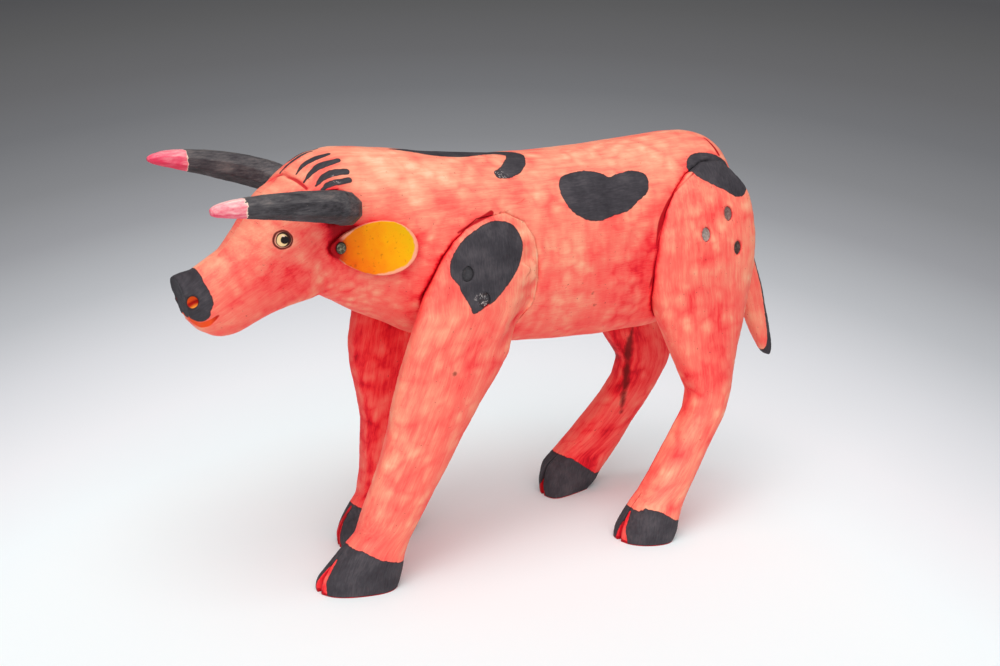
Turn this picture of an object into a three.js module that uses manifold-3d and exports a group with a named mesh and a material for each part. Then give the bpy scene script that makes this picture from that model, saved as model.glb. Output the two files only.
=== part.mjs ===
// A carved and painted wooden bull, standing, with nailed-on legs and ears and a nailed-on tail.
// The muzzle points to -X and the tail to +X. The bull's left side is -Y, and Z is up.
// The four soles stand on Z = 0. All lengths are in millimetres.
import * as THREE from 'three';
import { mergeVertices } from 'three/addons/utils/BufferGeometryUtils.js';
import Module from 'manifold-3d';

const wasm = await Module();
wasm.setup();

// Driving sizes of the animal
const bodyLength = 250;
const backHeight = 170;
const trunkWidth = 64;
const headWidth = 40;
const frontLegReach = 100;
const hindLegReach = 100;
const frontLegThickness = 15;
const hindLegThickness = 18;

// Horns, round pegs that hold them, and ears
const hornLength = 58.5;
const hornSpread = 39;
const hornThickness = 12.8;
const leftHornRise = 8;
const rightHornRise = 13;
const pegDiameter = 5;
const pegLength = 14;
const earLength = 35.5;
const earHeight = 24.2;
const earRimThickness = 1.8;
const earDishDepth = 1.5;
const earBackBulge = 1.6;
const earTiltDegrees = 14;
const earDroopDegrees = 3;

// Tail
const tailHeight = 106;
const tailReach = 45;
const tailThickness = 9;

// Nails: flat round heads on plain shanks
const legNailHead = 6.4;
const legNailShank = 2.8;
const legNailLength = 26;
const earNailHead = 4.8;
const earNailShank = 2;
const earNailLength = 14;
const tailNailLength = 20;
const nailHeadThickness = 1;
const nailHeadBevel = 0.25;
const shoulderNailSink = 1.3;
const hipNailSink = 0.9;
const earNailProud = 0.8;
const tailNailSink = 0.9;

// Carved details
const nostrilWidth = 3.6;
const nostrilHeight = 5.2;
const nostrilDepth = 3;
const cleftWidth = 5;
const cleftDepth = 6.5;
const toeIn = 3.2;

// Clearance between touching pieces, and how far a cut runs past what it cuts
const clearance = 0.34;
const overrun = 4;

// Smoothness of the carved forms
const bodySides = 28;
const legSides = 18;
const hornSides = 8;
const earSides = 22;
const tailSides = 12;
const nailSides = 12;
const pitSides = 14;
const pitRings = 8;
const bodySteps = 1;
const legSteps = 1;
const hornSteps = 2;
const tailSteps = 1;

const coral = 0xff6a55;
const charcoal = 0x3e3a3d;
const ironGrey = 0x77706d;
const paleWood = 0xe0b98c;

// Outline of the body as shares: top x, top z, bottom x, bottom z, width, height of the widest
// line. Lengths follow bodyLength, heights backHeight, and widths headWidth.
const headShares = [
  [0.006, 0.771, 0.018, 0.703, 0.275, 0.5],
  [0.003, 0.782, 0.022, 0.679, 0.375, 0.5],
  [0.012, 0.789, 0.038, 0.654, 0.43, 0.5],
  [0.033, 0.794, 0.066, 0.633, 0.49, 0.5],
  [0.059, 0.815, 0.096, 0.635, 0.575, 0.5],
  [0.084, 0.833, 0.125, 0.655, 0.675, 0.5],
  [0.11, 0.8765, 0.152, 0.672, 0.775, 0.5],
  [0.129, 0.9165, 0.178, 0.6835, 0.86, 0.5],
  [0.147, 0.949, 0.203, 0.692, 0.94, 0.5],
  [0.161, 0.966, 0.22, 0.6965, 0.99, 0.5],
  [0.172, 0.974, 0.23, 0.702, 1, 0.5],
  [0.183, 0.992, 0.237, 0.703, 1, 0.5],
  [0.204, 1.015, 0.248, 0.694, 1.025, 0.5],
  [0.229, 1.034, 0.266, 0.679, 1.063, 0.5],
];

// The same shares for the neck and trunk, whose widths follow trunkWidth
const trunkShares = [
  [0.272, 1.044, 0.294, 0.652, 0.72, 0.5],
  [0.322, 1.038, 0.34, 0.62, 0.8, 0.5],
  [0.372, 1.028, 0.388, 0.582, 0.875, 0.5],
  [0.432, 1.012, 0.44, 0.553, 0.94, 0.5],
  [0.496, 1.001, 0.5, 0.537, 0.977, 0.5],
  [0.568, 0.99, 0.568, 0.524, 1, 0.48],
  [0.648, 0.986, 0.648, 0.514, 1, 0.48],
  [0.74, 0.987, 0.74, 0.508, 1, 0.48],
  [0.832, 0.994, 0.832, 0.508, 0.977, 0.5],
  [0.904, 1, 0.912, 0.52, 0.92, 0.5],
  [0.952, 0.997, 0.968, 0.553, 0.845, 0.5],
  [0.98, 0.98, 0.998, 0.6, 0.75, 0.5],
  [1, 0.932, 1.012, 0.659, 0.61, 0.5],
  [1.013, 0.882, 1.018, 0.729, 0.375, 0.5],
];

// Legs as shares: front edge x and z, rear edge x and z, distance of the inner face from the
// middle, thickness, and how far out in the thickness the rim lies. Lengths run from the shoulder
// or hip line in shares of the leg's reach, heights follow backHeight, the inner face trunkWidth,
// and the thickness that of the leg.
const frontLeftShares = [
  [-0.025, 0.875, 0.11, 0.882, 0.35, 0.4, 0.8],
  [-0.08, 0.854, 0.185, 0.856, 0.336, 0.7, 0.8],
  [-0.135, 0.829, 0.225, 0.818, 0.33, 0.87, 0.76],
  [-0.18, 0.797, 0.243, 0.771, 0.33, 0.95, 0.7],
  [-0.22, 0.753, 0.243, 0.718, 0.33, 1, 0.66],
  [-0.26, 0.706, 0.228, 0.668, 0.33, 1.02, 0.64],
  [-0.3, 0.647, 0.182, 0.612, 0.33, 1.02, 0.63],
  [-0.335, 0.582, 0.124, 0.556, 0.325, 1.02, 0.58],
  [-0.365, 0.518, 0.062, 0.488, 0.315, 1.03, 0.52],
  [-0.392, 0.453, -0.013, 0.424, 0.305, 1.07, 0.48],
  [-0.41, 0.388, -0.085, 0.356, 0.295, 1.08, 0.46],
  [-0.44, 0.321, -0.15, 0.285, 0.285, 1.1, 0.45],
  [-0.48, 0.253, -0.215, 0.2265, 0.275, 1.13, 0.45],
  [-0.52, 0.188, -0.27, 0.168, 0.26, 1.16, 0.45],
  [-0.545, 0.132, -0.325, 0.112, 0.24, 1.2, 0.45],
  [-0.605, 0.097, -0.35, 0.0765, 0.23, 1.25, 0.45],
  [-0.66, 0.062, -0.365, 0.041, 0.225, 1.3, 0.45],
  [-0.71, 0.0265, -0.38, 0.018, 0.225, 1.3, 0.45],
  [-0.715, 0, -0.4, 0, 0.235, 1.25, 0.45],
];
const frontRightShares = [
  [-0.005, 0.875, 0.13, 0.882, 0.35, 0.4, 0.8],
  [-0.06, 0.854, 0.205, 0.856, 0.336, 0.7, 0.8],
  [-0.115, 0.829, 0.245, 0.818, 0.33, 0.87, 0.76],
  [-0.16, 0.797, 0.265, 0.771, 0.33, 0.95, 0.7],
  [-0.2, 0.753, 0.27, 0.718, 0.33, 1, 0.66],
  [-0.235, 0.706, 0.26, 0.668, 0.33, 1.02, 0.64],
  [-0.29, 0.647, 0.235, 0.612, 0.33, 1.02, 0.63],
  [-0.318, 0.582, 0.195, 0.556, 0.325, 1.02, 0.58],
  [-0.34, 0.518, 0.145, 0.488, 0.315, 1.03, 0.52],
  [-0.335, 0.453, 0.09, 0.424, 0.305, 1.07, 0.48],
  [-0.312, 0.382, 0.035, 0.356, 0.295, 1.08, 0.46],
  [-0.294, 0.315, -0.005, 0.285, 0.285, 1.1, 0.45],
  [-0.3, 0.247, -0.03, 0.2265, 0.275, 1.13, 0.45],
  [-0.308, 0.182, -0.052, 0.168, 0.26, 1.16, 0.45],
  [-0.33, 0.12, -0.07, 0.106, 0.24, 1.2, 0.45],
  [-0.375, 0.091, -0.075, 0.07, 0.23, 1.25, 0.45],
  [-0.415, 0.059, -0.075, 0.041, 0.225, 1.3, 0.45],
  [-0.44, 0.0265, -0.085, 0.018, 0.225, 1.3, 0.45],
  [-0.437, 0, -0.105, 0, 0.235, 1.25, 0.45],
];
const thighShares = [
  [0.07, 0.941, 0.17, 0.94, 0.316, 0.21, 0.8],
  [-0.027, 0.917, 0.227, 0.908, 0.316, 0.4, 0.8],
  [-0.103, 0.88, 0.27, 0.87, 0.3125, 0.62, 0.78],
  [-0.156, 0.834, 0.295, 0.817, 0.3125, 0.78, 0.72],
  [-0.192, 0.768, 0.305, 0.747, 0.3125, 0.91, 0.66],
  [-0.21, 0.694, 0.298, 0.679, 0.3125, 0.97, 0.63],
  [-0.208, 0.6235, 0.278, 0.609, 0.3125, 0.97, 0.62],
];
const hindLeftShares = [
  ...thighShares,
  [-0.172, 0.562, 0.255, 0.538, 0.3125, 0.97, 0.6],
  [-0.115, 0.497, 0.228, 0.468, 0.316, 0.96, 0.56],
  [-0.06, 0.4265, 0.205, 0.394, 0.336, 0.92, 0.5],
  [-0.006, 0.362, 0.188, 0.347, 0.348, 0.905, 0.48],
  [-0.022, 0.314, 0.155, 0.297, 0.36, 0.905, 0.47],
  [-0.085, 0.264, 0.09, 0.241, 0.372, 0.92, 0.47],
  [-0.147, 0.212, 0.027, 0.185, 0.383, 0.93, 0.47],
  [-0.203, 0.165, -0.03, 0.132, 0.39, 0.98, 0.47],
  [-0.262, 0.12, -0.08, 0.085, 0.39, 1.055, 0.47],
  [-0.312, 0.083, -0.108, 0.05, 0.3875, 1.12, 0.47],
  [-0.362, 0.037, -0.125, 0.0205, 0.3875, 1.15, 0.47],
  [-0.372, 0, -0.155, 0, 0.4, 1.09, 0.47],
];
const hindRightShares = [
  ...thighShares,
  [-0.172, 0.562, 0.28, 0.538, 0.3125, 0.97, 0.6],
  [-0.13, 0.488, 0.285, 0.47, 0.316, 0.96, 0.56],
  [-0.065, 0.4235, 0.284, 0.4, 0.336, 0.92, 0.5],
  [0.01, 0.359, 0.26, 0.335, 0.348, 0.905, 0.48],
  [-0.01, 0.306, 0.207, 0.282, 0.36, 0.905, 0.47],
  [-0.065, 0.256, 0.147, 0.2265, 0.372, 0.933, 0.47],
  [-0.135, 0.209, 0.078, 0.1735, 0.383, 0.96, 0.47],
  [-0.205, 0.165, 0.03, 0.129, 0.39, 1, 0.47],
  [-0.285, 0.1175, -0.035, 0.082, 0.39, 1.055, 0.47],
  [-0.36, 0.082, -0.075, 0.05, 0.3875, 1.1, 0.47],
  [-0.385, 0.038, -0.095, 0.0205, 0.3875, 1.11, 0.47],
  [-0.38, 0, -0.12, 0, 0.4, 1.055, 0.47],
];

// Horns as shares: forward reach, spread, rise and thickness, from the root in the head to the tip
const leftHornShares = [
  [0.07, 0.38, 0.03, 0.98],
  [0, 0.56, 0.05, 1.04],
  [0.005, 0.75, 0.14, 1.05],
  [0.12, 0.92, 0.47, 1.04],
  [0.4, 1, 0.8, 0.9],
  [0.75, 1, 1, 0.65],
  [0.9, 0.972, 0.99, 0.48],
  [0.97, 0.957, 0.94, 0.34],
  [0.992, 0.952, 0.92, 0.2],
];
const rightHornShares = [
  [0.07, 0.38, 0, 0.98],
  [0, 0.56, -0.03, 1.02],
  [0.005, 0.75, 0.03, 1.02],
  [0.12, 0.92, 0.29, 1.02],
  [0.4, 1, 0.66, 0.93],
  [0.72, 1, 0.98, 0.66],
  [0.86, 0.98, 1.07, 0.46],
  [0.93, 0.966, 1.1, 0.26],
  [0.948, 0.963, 1.11, 0.14],
];

// Tail as shares: front edge x and z, rear edge x and z, and thickness. Lengths run from the root,
// in shares of tailReach, and heights down from the root, in shares of tailHeight.
const tailShares = [
  [0.02, -0.045, 0.12, 0.004, 0.8],
  [0.1, -0.14, 0.28, -0.07, 1],
  [0.23, -0.25, 0.42, -0.18, 1],
  [0.35, -0.37, 0.56, -0.34, 1.05],
  [0.47, -0.53, 0.7, -0.5, 1.1],
  [0.58, -0.67, 0.83, -0.66, 1.1],
  [0.69, -0.8, 0.93, -0.82, 1],
  [0.79, -0.89, 0.99, -0.92, 0.85],
  [0.88, -0.955, 1, -0.968, 0.6],
  [0.93, -0.976, 0.985, -0.98, 0.4],
];

// Places as shares of bodyLength and backHeight
const shoulderLineShare = 0.48;
const hipLineShare = 0.888;
const hornRootShares = [0.2435, 0.929];
const earRootShares = [0.2255, 0.837];
const tailRootShares = [0.965, 0.972];
const nostrilShares = [0.02, 0.733];
const nostrilSpreadShare = 0.2;
const shoulderNailShares = { upper: [0.44, 0.757], lower: [0.468, 0.69] };
const hipNailShares = { front: [0.895, 0.776], top: [0.944, 0.82], rear: [0.96, 0.732] };
const tailNailShare = 0.14;

const earRoot = new THREE.Vector3(
  earRootShares[0] * bodyLength,
  headWidth / 2 + earRimThickness,
  earRootShares[1] * backHeight,
);

// The claws turn in below this height, and the notch between them starts this many rows up
const ankleHeightShare = 0.22;
const cleftRows = 4;
const cleftClosingShare = 0.05;

// Rings across the ear, and how much narrower it is at the root
const earRingShares = [0.4, 0.75, 1];
const earRootNarrowingShare = 0.52;

// How square the sections are: 2 is an ellipse, more is squarer
const bodySquareness = 2.35;
const legOuterSquareness = 2.3;
const legInnerSquareness = 3.4;
const pocketSquareness = 9;
const tailSquareness = 3;

// Runs a smooth curve through each column of a table, with extra rows between those given
function smoothTable(rows, steps) {
  const columns = rows[0].map((_, column) => new THREE.SplineCurve(
    rows.map((row, index) => new THREE.Vector2(index, row[column])),
  ));
  const spans = rows.length - 1;
  return Array.from({ length: spans * steps + 1 }, (_, index) => (
    columns.map((curve) => curve.getPoint(index / (spans * steps)).y)
  ));
}

// Skins closed rings of points and closes both ends with a fan
function loft(rings) {
  const sides = rings[0].length;
  const positions = rings.flat().flatMap((point) => point.toArray());
  const faces = [];
  for (let ring = 0; ring + 1 < rings.length; ring += 1) {
    for (let side = 0; side < sides; side += 1) {
      const next = (side + 1) % sides;
      const [a, b] = [ring * sides + side, ring * sides + next];
      faces.push([a, b, b + sides], [a, b + sides, a + sides]);
    }
  }
  const ends = [rings[0], rings.at(-1)].map((ring) => (
    ring.reduce((sum, point) => sum.add(point), new THREE.Vector3()).divideScalar(sides)
  ));
  ends.forEach((end) => positions.push(...end.toArray()));
  const firstCentre = rings.length * sides;
  const lastRing = firstCentre - sides;
  for (let side = 0; side < sides; side += 1) {
    const next = (side + 1) % sides;
    faces.push([next, side, firstCentre], [lastRing + side, lastRing + next, firstCentre + 1]);
  }
  const geometry = new THREE.BufferGeometry();
  geometry.setAttribute('position', new THREE.Float32BufferAttribute(positions, 3));
  geometry.setIndex(faces.flat());
  return facingOut(geometry);
}

// Turns every face over if the closed shape was wound inside out
function facingOut(geometry) {
  const position = geometry.attributes.position;
  const index = Array.from(geometry.index.array);
  const corner = (i) => new THREE.Vector3().fromBufferAttribute(position, index[i]);
  let volume = 0;
  for (let i = 0; i < index.length; i += 3) {
    volume += corner(i).dot(corner(i + 1).cross(corner(i + 2)));
  }
  geometry.setIndex(volume < 0 ? index.reverse() : index);
  return geometry;
}

// Moves every point of a smooth closed shape outwards
function grown(geometry, distance) {
  const copy = geometry.clone();
  copy.computeVertexNormals();
  const { position, normal } = copy.attributes;
  for (let i = 0; i < position.count; i += 1) {
    const point = new THREE.Vector3().fromBufferAttribute(position, i);
    point.addScaledVector(new THREE.Vector3().fromBufferAttribute(normal, i), distance);
    position.setXYZ(i, point.x, point.y, point.z);
  }
  return copy;
}

function toSolid(geometry) {
  const bare = geometry.clone();
  bare.deleteAttribute('normal');
  bare.deleteAttribute('uv');
  const merged = mergeVertices(bare);
  return new wasm.Manifold(new wasm.Mesh({
    numProp: 3,
    vertProperties: new Float32Array(merged.attributes.position.array),
    triVerts: new Uint32Array(merged.index.array),
  }));
}

function toGeometry(solid) {
  const mesh = solid.getMesh();
  const geometry = new THREE.BufferGeometry();
  geometry.setAttribute('position', new THREE.Float32BufferAttribute(mesh.vertProperties, 3));
  geometry.setIndex(Array.from(mesh.triVerts));
  geometry.computeVertexNormals();
  return geometry;
}

function cut(geometry, tools) {
  const solid = tools.reduce((rest, tool) => rest.subtract(toSolid(tool)), toSolid(geometry));
  return toGeometry(solid);
}

// A power curve that turns a circle's sine or cosine into that of a squarer outline
function squared(value, squareness) {
  return Math.sign(value) * Math.abs(value) ** (2 / squareness);
}

// Body: one block for head, neck and trunk
function bodyForm() {
  const sized = (shares, width) => shares.map(([topX, topZ, lowX, lowZ, wide, waist]) => [
    topX * bodyLength, topZ * backHeight, lowX * bodyLength, lowZ * backHeight, wide * width, waist,
  ]);
  const rows = smoothTable([...sized(headShares, headWidth), ...sized(trunkShares, trunkWidth)],
    bodySteps);
  return loft(rows.map(([topX, topZ, lowX, lowZ, width, waistShare]) => {
    const top = new THREE.Vector3(topX, 0, topZ);
    const low = new THREE.Vector3(lowX, 0, lowZ);
    const waist = low.clone().lerp(top, waistShare);
    return Array.from({ length: bodySides }, (_, side) => {
      const angle = (2 * Math.PI * side) / bodySides;
      const along = squared(Math.cos(angle), bodySquareness);
      const point = waist.clone().lerp(along > 0 ? top : low, Math.abs(along));
      point.y = (width / 2) * squared(Math.sin(angle), bodySquareness);
      return point;
    });
  }));
}

// Leg: side is -1 for the left and 1 for the right. The pocket is the same form, opened outwards.
function legForm(leg, asPocket = false) {
  const lineX = leg.lineShare * bodyLength;
  const rows = smoothTable(leg.shares, legSteps);
  return loft(rows.map(([frontX, frontZ, rearX, rearZ, innerShare, thickShare, rimShare]) => {
    const front = new THREE.Vector2(lineX + frontX * leg.reach, frontZ * backHeight);
    const rear = new THREE.Vector2(lineX + rearX * leg.reach, rearZ * backHeight);
    const middle = front.clone().lerp(rear, 1 / 2);
    const inner = innerShare * trunkWidth;
    const thickness = thickShare * leg.thickness;
    const rim = inner + rimShare * thickness;
    const outer = inner + thickness + (asPocket ? trunkWidth : 0);
    const turnIn = toeIn * Math.max(0, 1 - (2 * front.y) / (ankleHeightShare * backHeight));
    return Array.from({ length: legSides }, (_, side) => {
      const angle = (2 * Math.PI * side) / legSides;
      const outwards = Math.sin(angle) > 0;
      const outerSquareness = asPocket ? pocketSquareness : legOuterSquareness;
      const squareness = outwards ? outerSquareness : legInnerSquareness;
      const along = squared(Math.cos(angle), squareness);
      const across = squared(Math.sin(angle), squareness);
      const edge = middle.clone().lerp(along > 0 ? rear : front, Math.abs(along));
      const reach = outwards ? outer - rim : rim - inner;
      const y = rim + reach * across + turnIn * along;
      return new THREE.Vector3(edge.x, leg.side * y, edge.y);
    });
  }));
}

// The notch between the two claws, wide at the sole and closing to nothing above the hoof
function cleftWedge(leg) {
  const rows = leg.shares;
  const [toeX, , , , innerShare, thickShare] = rows.at(-1);
  const [topX, topZ] = rows.at(-cleftRows);
  const lineX = leg.lineShare * bodyLength;
  const middle = innerShare * trunkWidth + (thickShare * leg.thickness) / 2 - toeIn;
  const toe = new THREE.Vector3(lineX + toeX * leg.reach, leg.side * middle, -overrun);
  const apex = new THREE.Vector3(lineX + topX * leg.reach, leg.side * middle, topZ * backHeight);
  const mouth = 2 * overrun;
  const ring = (centre, share) => [
    [-mouth, (share * cleftWidth) / 2], [share * cleftDepth, 0], [-mouth, (-share * cleftWidth) / 2],
  ].map(([x, y]) => new THREE.Vector3(centre.x + x, centre.y + y, centre.z));
  return loft([ring(toe, 1 + overrun / apex.z), ring(apex, cleftClosingShare)]);
}

function hornPath(horn) {
  const [rootXShare, rootZShare] = hornRootShares;
  const points = horn.shares.map(([reach, spread, up]) => new THREE.Vector3(
    rootXShare * bodyLength - reach * hornLength,
    horn.side * spread * hornSpread,
    rootZShare * backHeight + up * horn.rise,
  ));
  return new THREE.CatmullRomCurve3(points);
}

// Horn: flat facets left by the knife, round a path that leaves the head sideways and runs forward
function hornForm(horn) {
  const path = hornPath(horn);
  const thickness = smoothTable(horn.shares, hornSteps).map((row) => row[3] * hornThickness);
  return loft(thickness.map((across, index) => {
    const share = index / (thickness.length - 1);
    const centre = path.getPoint(share);
    const ahead = path.getTangent(share);
    const sideways = new THREE.Vector3(0, 0, 1).cross(ahead).normalize();
    return Array.from({ length: hornSides }, (_, corner) => {
      const angle = (2 * Math.PI * (corner + 1 / 2)) / hornSides;
      return centre.clone()
        .addScaledVector(sideways, (across / 2) * Math.cos(angle))
        .addScaledVector(ahead.clone().cross(sideways), (across / 2) * Math.sin(angle));
    });
  }));
}

// Ear: a thin dish with a hollow outer face, an egg outline and a narrow root
function earForm(side) {
  const faceRing = (radius, depth) => Array.from({ length: earSides }, (_, index) => {
    const angle = (2 * Math.PI * index) / earSides;
    const lengthShare = (1 - Math.cos(angle)) / 2;
    const fullness = 1 - earRootNarrowingShare * (1 - lengthShare) ** 2;
    return new THREE.Vector3(
      (earLength / 2) * (1 - radius * Math.cos(angle)),
      depth,
      (earHeight / 2) * radius * Math.sin(angle) * fullness,
    );
  });
  const hollow = (radius) => -earDishDepth * (1 - radius ** 2);
  const back = (radius) => -earRimThickness - earBackBulge * (1 - radius ** 2);
  const ear = loft([
    ...earRingShares.map((radius) => faceRing(radius, hollow(radius))),
    ...earRingShares.toReversed().map((radius) => faceRing(radius, back(radius))),
  ]);
  ear.rotateY(THREE.MathUtils.degToRad(earDroopDegrees));
  ear.rotateZ(THREE.MathUtils.degToRad(earTiltDegrees));
  if (side < 0) ear.scale(1, -1, 1);
  ear.translate(earRoot.x, side * earRoot.y, earRoot.z);
  return facingOut(ear);
}

function tailForm() {
  const rootX = tailRootShares[0] * bodyLength;
  const rootZ = tailRootShares[1] * backHeight;
  return loft(smoothTable(tailShares, tailSteps).map(([frontX, frontZ, rearX, rearZ, thick]) => {
    const front = new THREE.Vector3(rootX + frontX * tailReach, 0, rootZ + frontZ * tailHeight);
    const rear = new THREE.Vector3(rootX + rearX * tailReach, 0, rootZ + rearZ * tailHeight);
    return Array.from({ length: tailSides }, (_, side) => {
      const angle = (2 * Math.PI * side) / tailSides;
      const alongShare = (1 + squared(Math.cos(angle), tailSquareness)) / 2;
      const point = front.clone().lerp(rear, alongShare);
      point.y = ((thick * tailThickness) / 2) * squared(Math.sin(angle), tailSquareness);
      return point;
    });
  }));
}

// Finds where a straight line meets a form, and which way the surface faces there
function surfaceSeat(geometry, from, direction, step) {
  const mesh = new THREE.Mesh(geometry, new THREE.MeshBasicMaterial({ side: THREE.DoubleSide }));
  const hit = (start) => new THREE.Raycaster(start, direction).intersectObject(mesh)[0].point;
  const lift = new THREE.Vector3(0, 0, step);
  const aside = direction.clone().cross(lift);
  const seat = hit(from);
  const normal = hit(from.clone().add(lift)).sub(hit(from.clone().sub(lift)))
    .cross(hit(from.clone().add(aside)).sub(hit(from.clone().sub(aside))))
    .normalize();
  if (normal.dot(direction) > 0) normal.negate();
  return { seat, normal };
}

// Turns a profile, given from the bottom up, round the Y axis
function turned(profile) {
  return new THREE.LatheGeometry(profile.map(([x, y]) => new THREE.Vector2(x, y)), nailSides);
}

// A nail is described by its head and shank sizes and lies along its own line, head outwards
function nailGeometry(nail) {
  const head = nail.head / 2;
  const shank = nail.shank / 2;
  return turned([
    [0, -nail.length],
    [shank, -nail.length + nail.shank],
    [shank, -nailHeadThickness],
    [head, -nailHeadThickness],
    [head, -nailHeadBevel],
    [head - nailHeadBevel, 0],
    [0, 0],
  ]);
}

// The hole for a nail: its shank with clearance, and a sink for its head open to the outside
function nailHole(nail) {
  const head = nail.head / 2 + clearance;
  const shank = nail.shank / 2 + clearance;
  return turned([
    [0, -nail.length - clearance],
    [shank, -nail.length - clearance],
    [shank, -nailHeadThickness - clearance],
    [head, -nailHeadThickness - clearance],
    [head, overrun],
    [0, overrun],
  ]);
}

function placeNail(form, nail) {
  const { seat, normal } = surfaceSeat(form, nail.from, nail.direction, nail.head / 2);
  const top = seat.addScaledVector(normal, -nail.sink);
  const turn = new THREE.Quaternion().setFromUnitVectors(new THREE.Vector3(0, 1, 0), normal);
  return { ...nail, top, turn };
}

function setInPlace(geometry, { top, turn }) {
  return geometry.applyQuaternion(turn).translate(top.x, top.y, top.z);
}

function nostrilPit(side) {
  const pit = new THREE.SphereGeometry(1, pitSides, pitRings);
  pit.scale(nostrilDepth, nostrilWidth / 2, nostrilHeight / 2);
  const [xShare, zShare] = nostrilShares;
  pit.translate(xShare * bodyLength, side * nostrilSpreadShare * headWidth, zShare * backHeight);
  return pit;
}

// A round peg half in the horn and half in the head, or with extra, the hole for it
function pegForm(horn, extra) {
  const radius = pegDiameter / 2 + extra;
  const peg = new THREE.CylinderGeometry(radius, radius, pegLength + 2 * extra, nailSides);
  const path = hornPath(horn);
  const turn = new THREE.Quaternion().setFromUnitVectors(
    new THREE.Vector3(0, 1, 0), path.getTangent(0),
  );
  return setInPlace(peg, { top: path.getPoint(0), turn });
}

const wood = (color) => new THREE.MeshStandardMaterial({ color, roughness: 0.7, metalness: 0 });
const iron = new THREE.MeshStandardMaterial({ color: ironGrey, roughness: 0.5, metalness: 0.8 });
const group = new THREE.Group();

function addPiece(name, geometry, material) {
  const mesh = new THREE.Mesh(geometry, material);
  mesh.name = name;
  group.add(mesh);
}

const halves = [{ name: 'left', side: -1 }, { name: 'right', side: 1 }];
const front = { lineShare: shoulderLineShare, reach: frontLegReach, thickness: frontLegThickness };
const hind = { lineShare: hipLineShare, reach: hindLegReach, thickness: hindLegThickness };
const legs = [
  { ...front, name: 'front_left', side: -1, shares: frontLeftShares },
  { ...front, name: 'front_right', side: 1, shares: frontRightShares },
  { ...hind, name: 'hind_left', side: -1, shares: hindLeftShares },
  { ...hind, name: 'hind_right', side: 1, shares: hindRightShares },
];

const horns = [
  { name: 'left', side: -1, rise: leftHornRise, shares: leftHornShares },
  { name: 'right', side: 1, rise: rightHornRise, shares: rightHornShares },
];

const bodyCuts = halves.map(({ side }) => nostrilPit(side));

// Legs, each held by nails that run through it into the body
for (const leg of legs) {
  const form = legForm(leg);
  const atFront = leg.lineShare === shoulderLineShare;
  const places = Object.entries(atFront ? shoulderNailShares : hipNailShares);
  const nails = places.map(([place, [xShare, zShare]]) => placeNail(form, {
    name: `${leg.name}_leg_nail_${place}`,
    head: legNailHead,
    shank: legNailShank,
    length: legNailLength,
    sink: atFront ? shoulderNailSink : hipNailSink,
    from: new THREE.Vector3(xShare * bodyLength, leg.side * trunkWidth, zShare * backHeight),
    direction: new THREE.Vector3(0, -leg.side, 0),
  }));
  const holes = nails.map((nail) => setInPlace(nailHole(nail), nail));
  addPiece(`${leg.name}_leg`, cut(form, [...holes, cleftWedge(leg)]), wood(coral));
  nails.forEach((nail) => addPiece(nail.name, setInPlace(nailGeometry(nail), nail), iron));
  bodyCuts.push(grown(legForm(leg, true), clearance), ...holes);
}

// Horns on hidden pegs
for (const horn of horns) {
  const form = hornForm(horn);
  const pegHole = pegForm(horn, clearance);
  addPiece(`${horn.name}_horn`, cut(form, [pegHole]), wood(charcoal));
  addPiece(`${horn.name}_horn_peg`, pegForm(horn, 0), wood(paleWood));
  bodyCuts.push(grown(form, clearance), pegHole);
}

// Ears, each held by one nail through its root
for (const { name, side } of halves) {
  const form = earForm(side);
  const nail = placeNail(form, {
    name: `${name}_ear_nail`,
    head: earNailHead,
    shank: earNailShank,
    length: earNailLength,
    sink: -earNailProud,
    from: new THREE.Vector3(earRoot.x + earNailHead, side * trunkWidth, earRoot.z),
    direction: new THREE.Vector3(0, -side, 0),
  });
  const hole = setInPlace(nailHole(nail), nail);
  addPiece(`${name}_ear`, cut(form, [hole]), wood(coral));
  addPiece(nail.name, setInPlace(nailGeometry(nail), nail), iron);
  bodyCuts.push(grown(form, clearance), hole);
}

// Tail, let into the rump and nailed from behind
const tail = tailForm();
const tailNail = placeNail(tail, {
  name: 'tail_nail',
  head: earNailHead,
  shank: earNailShank,
  length: tailNailLength,
  sink: tailNailSink,
  from: new THREE.Vector3(
    tailRootShares[0] * bodyLength + tailReach,
    0,
    tailRootShares[1] * backHeight - tailNailShare * tailHeight,
  ),
  direction: new THREE.Vector3(-1, 0, 0),
});
const tailHole = setInPlace(nailHole(tailNail), tailNail);
addPiece('tail', cut(tail, [tailHole]), wood(coral));
addPiece(tailNail.name, setInPlace(nailGeometry(tailNail), tailNail), iron);
bodyCuts.push(grown(tail, clearance), tailHole);

addPiece('body', cut(bodyForm(), bodyCuts), wood(coral));

// The origin is under the middle of the whole figure, on the floor
const middle = new THREE.Box3().setFromObject(group).getCenter(new THREE.Vector3());
group.position.set(-middle.x, -middle.y, 0);

export default group;
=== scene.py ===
import math

import bmesh
import bpy
import numpy as np
from mathutils import Matrix, Vector, noise
from mathutils.bvhtree import BVHTree


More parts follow.
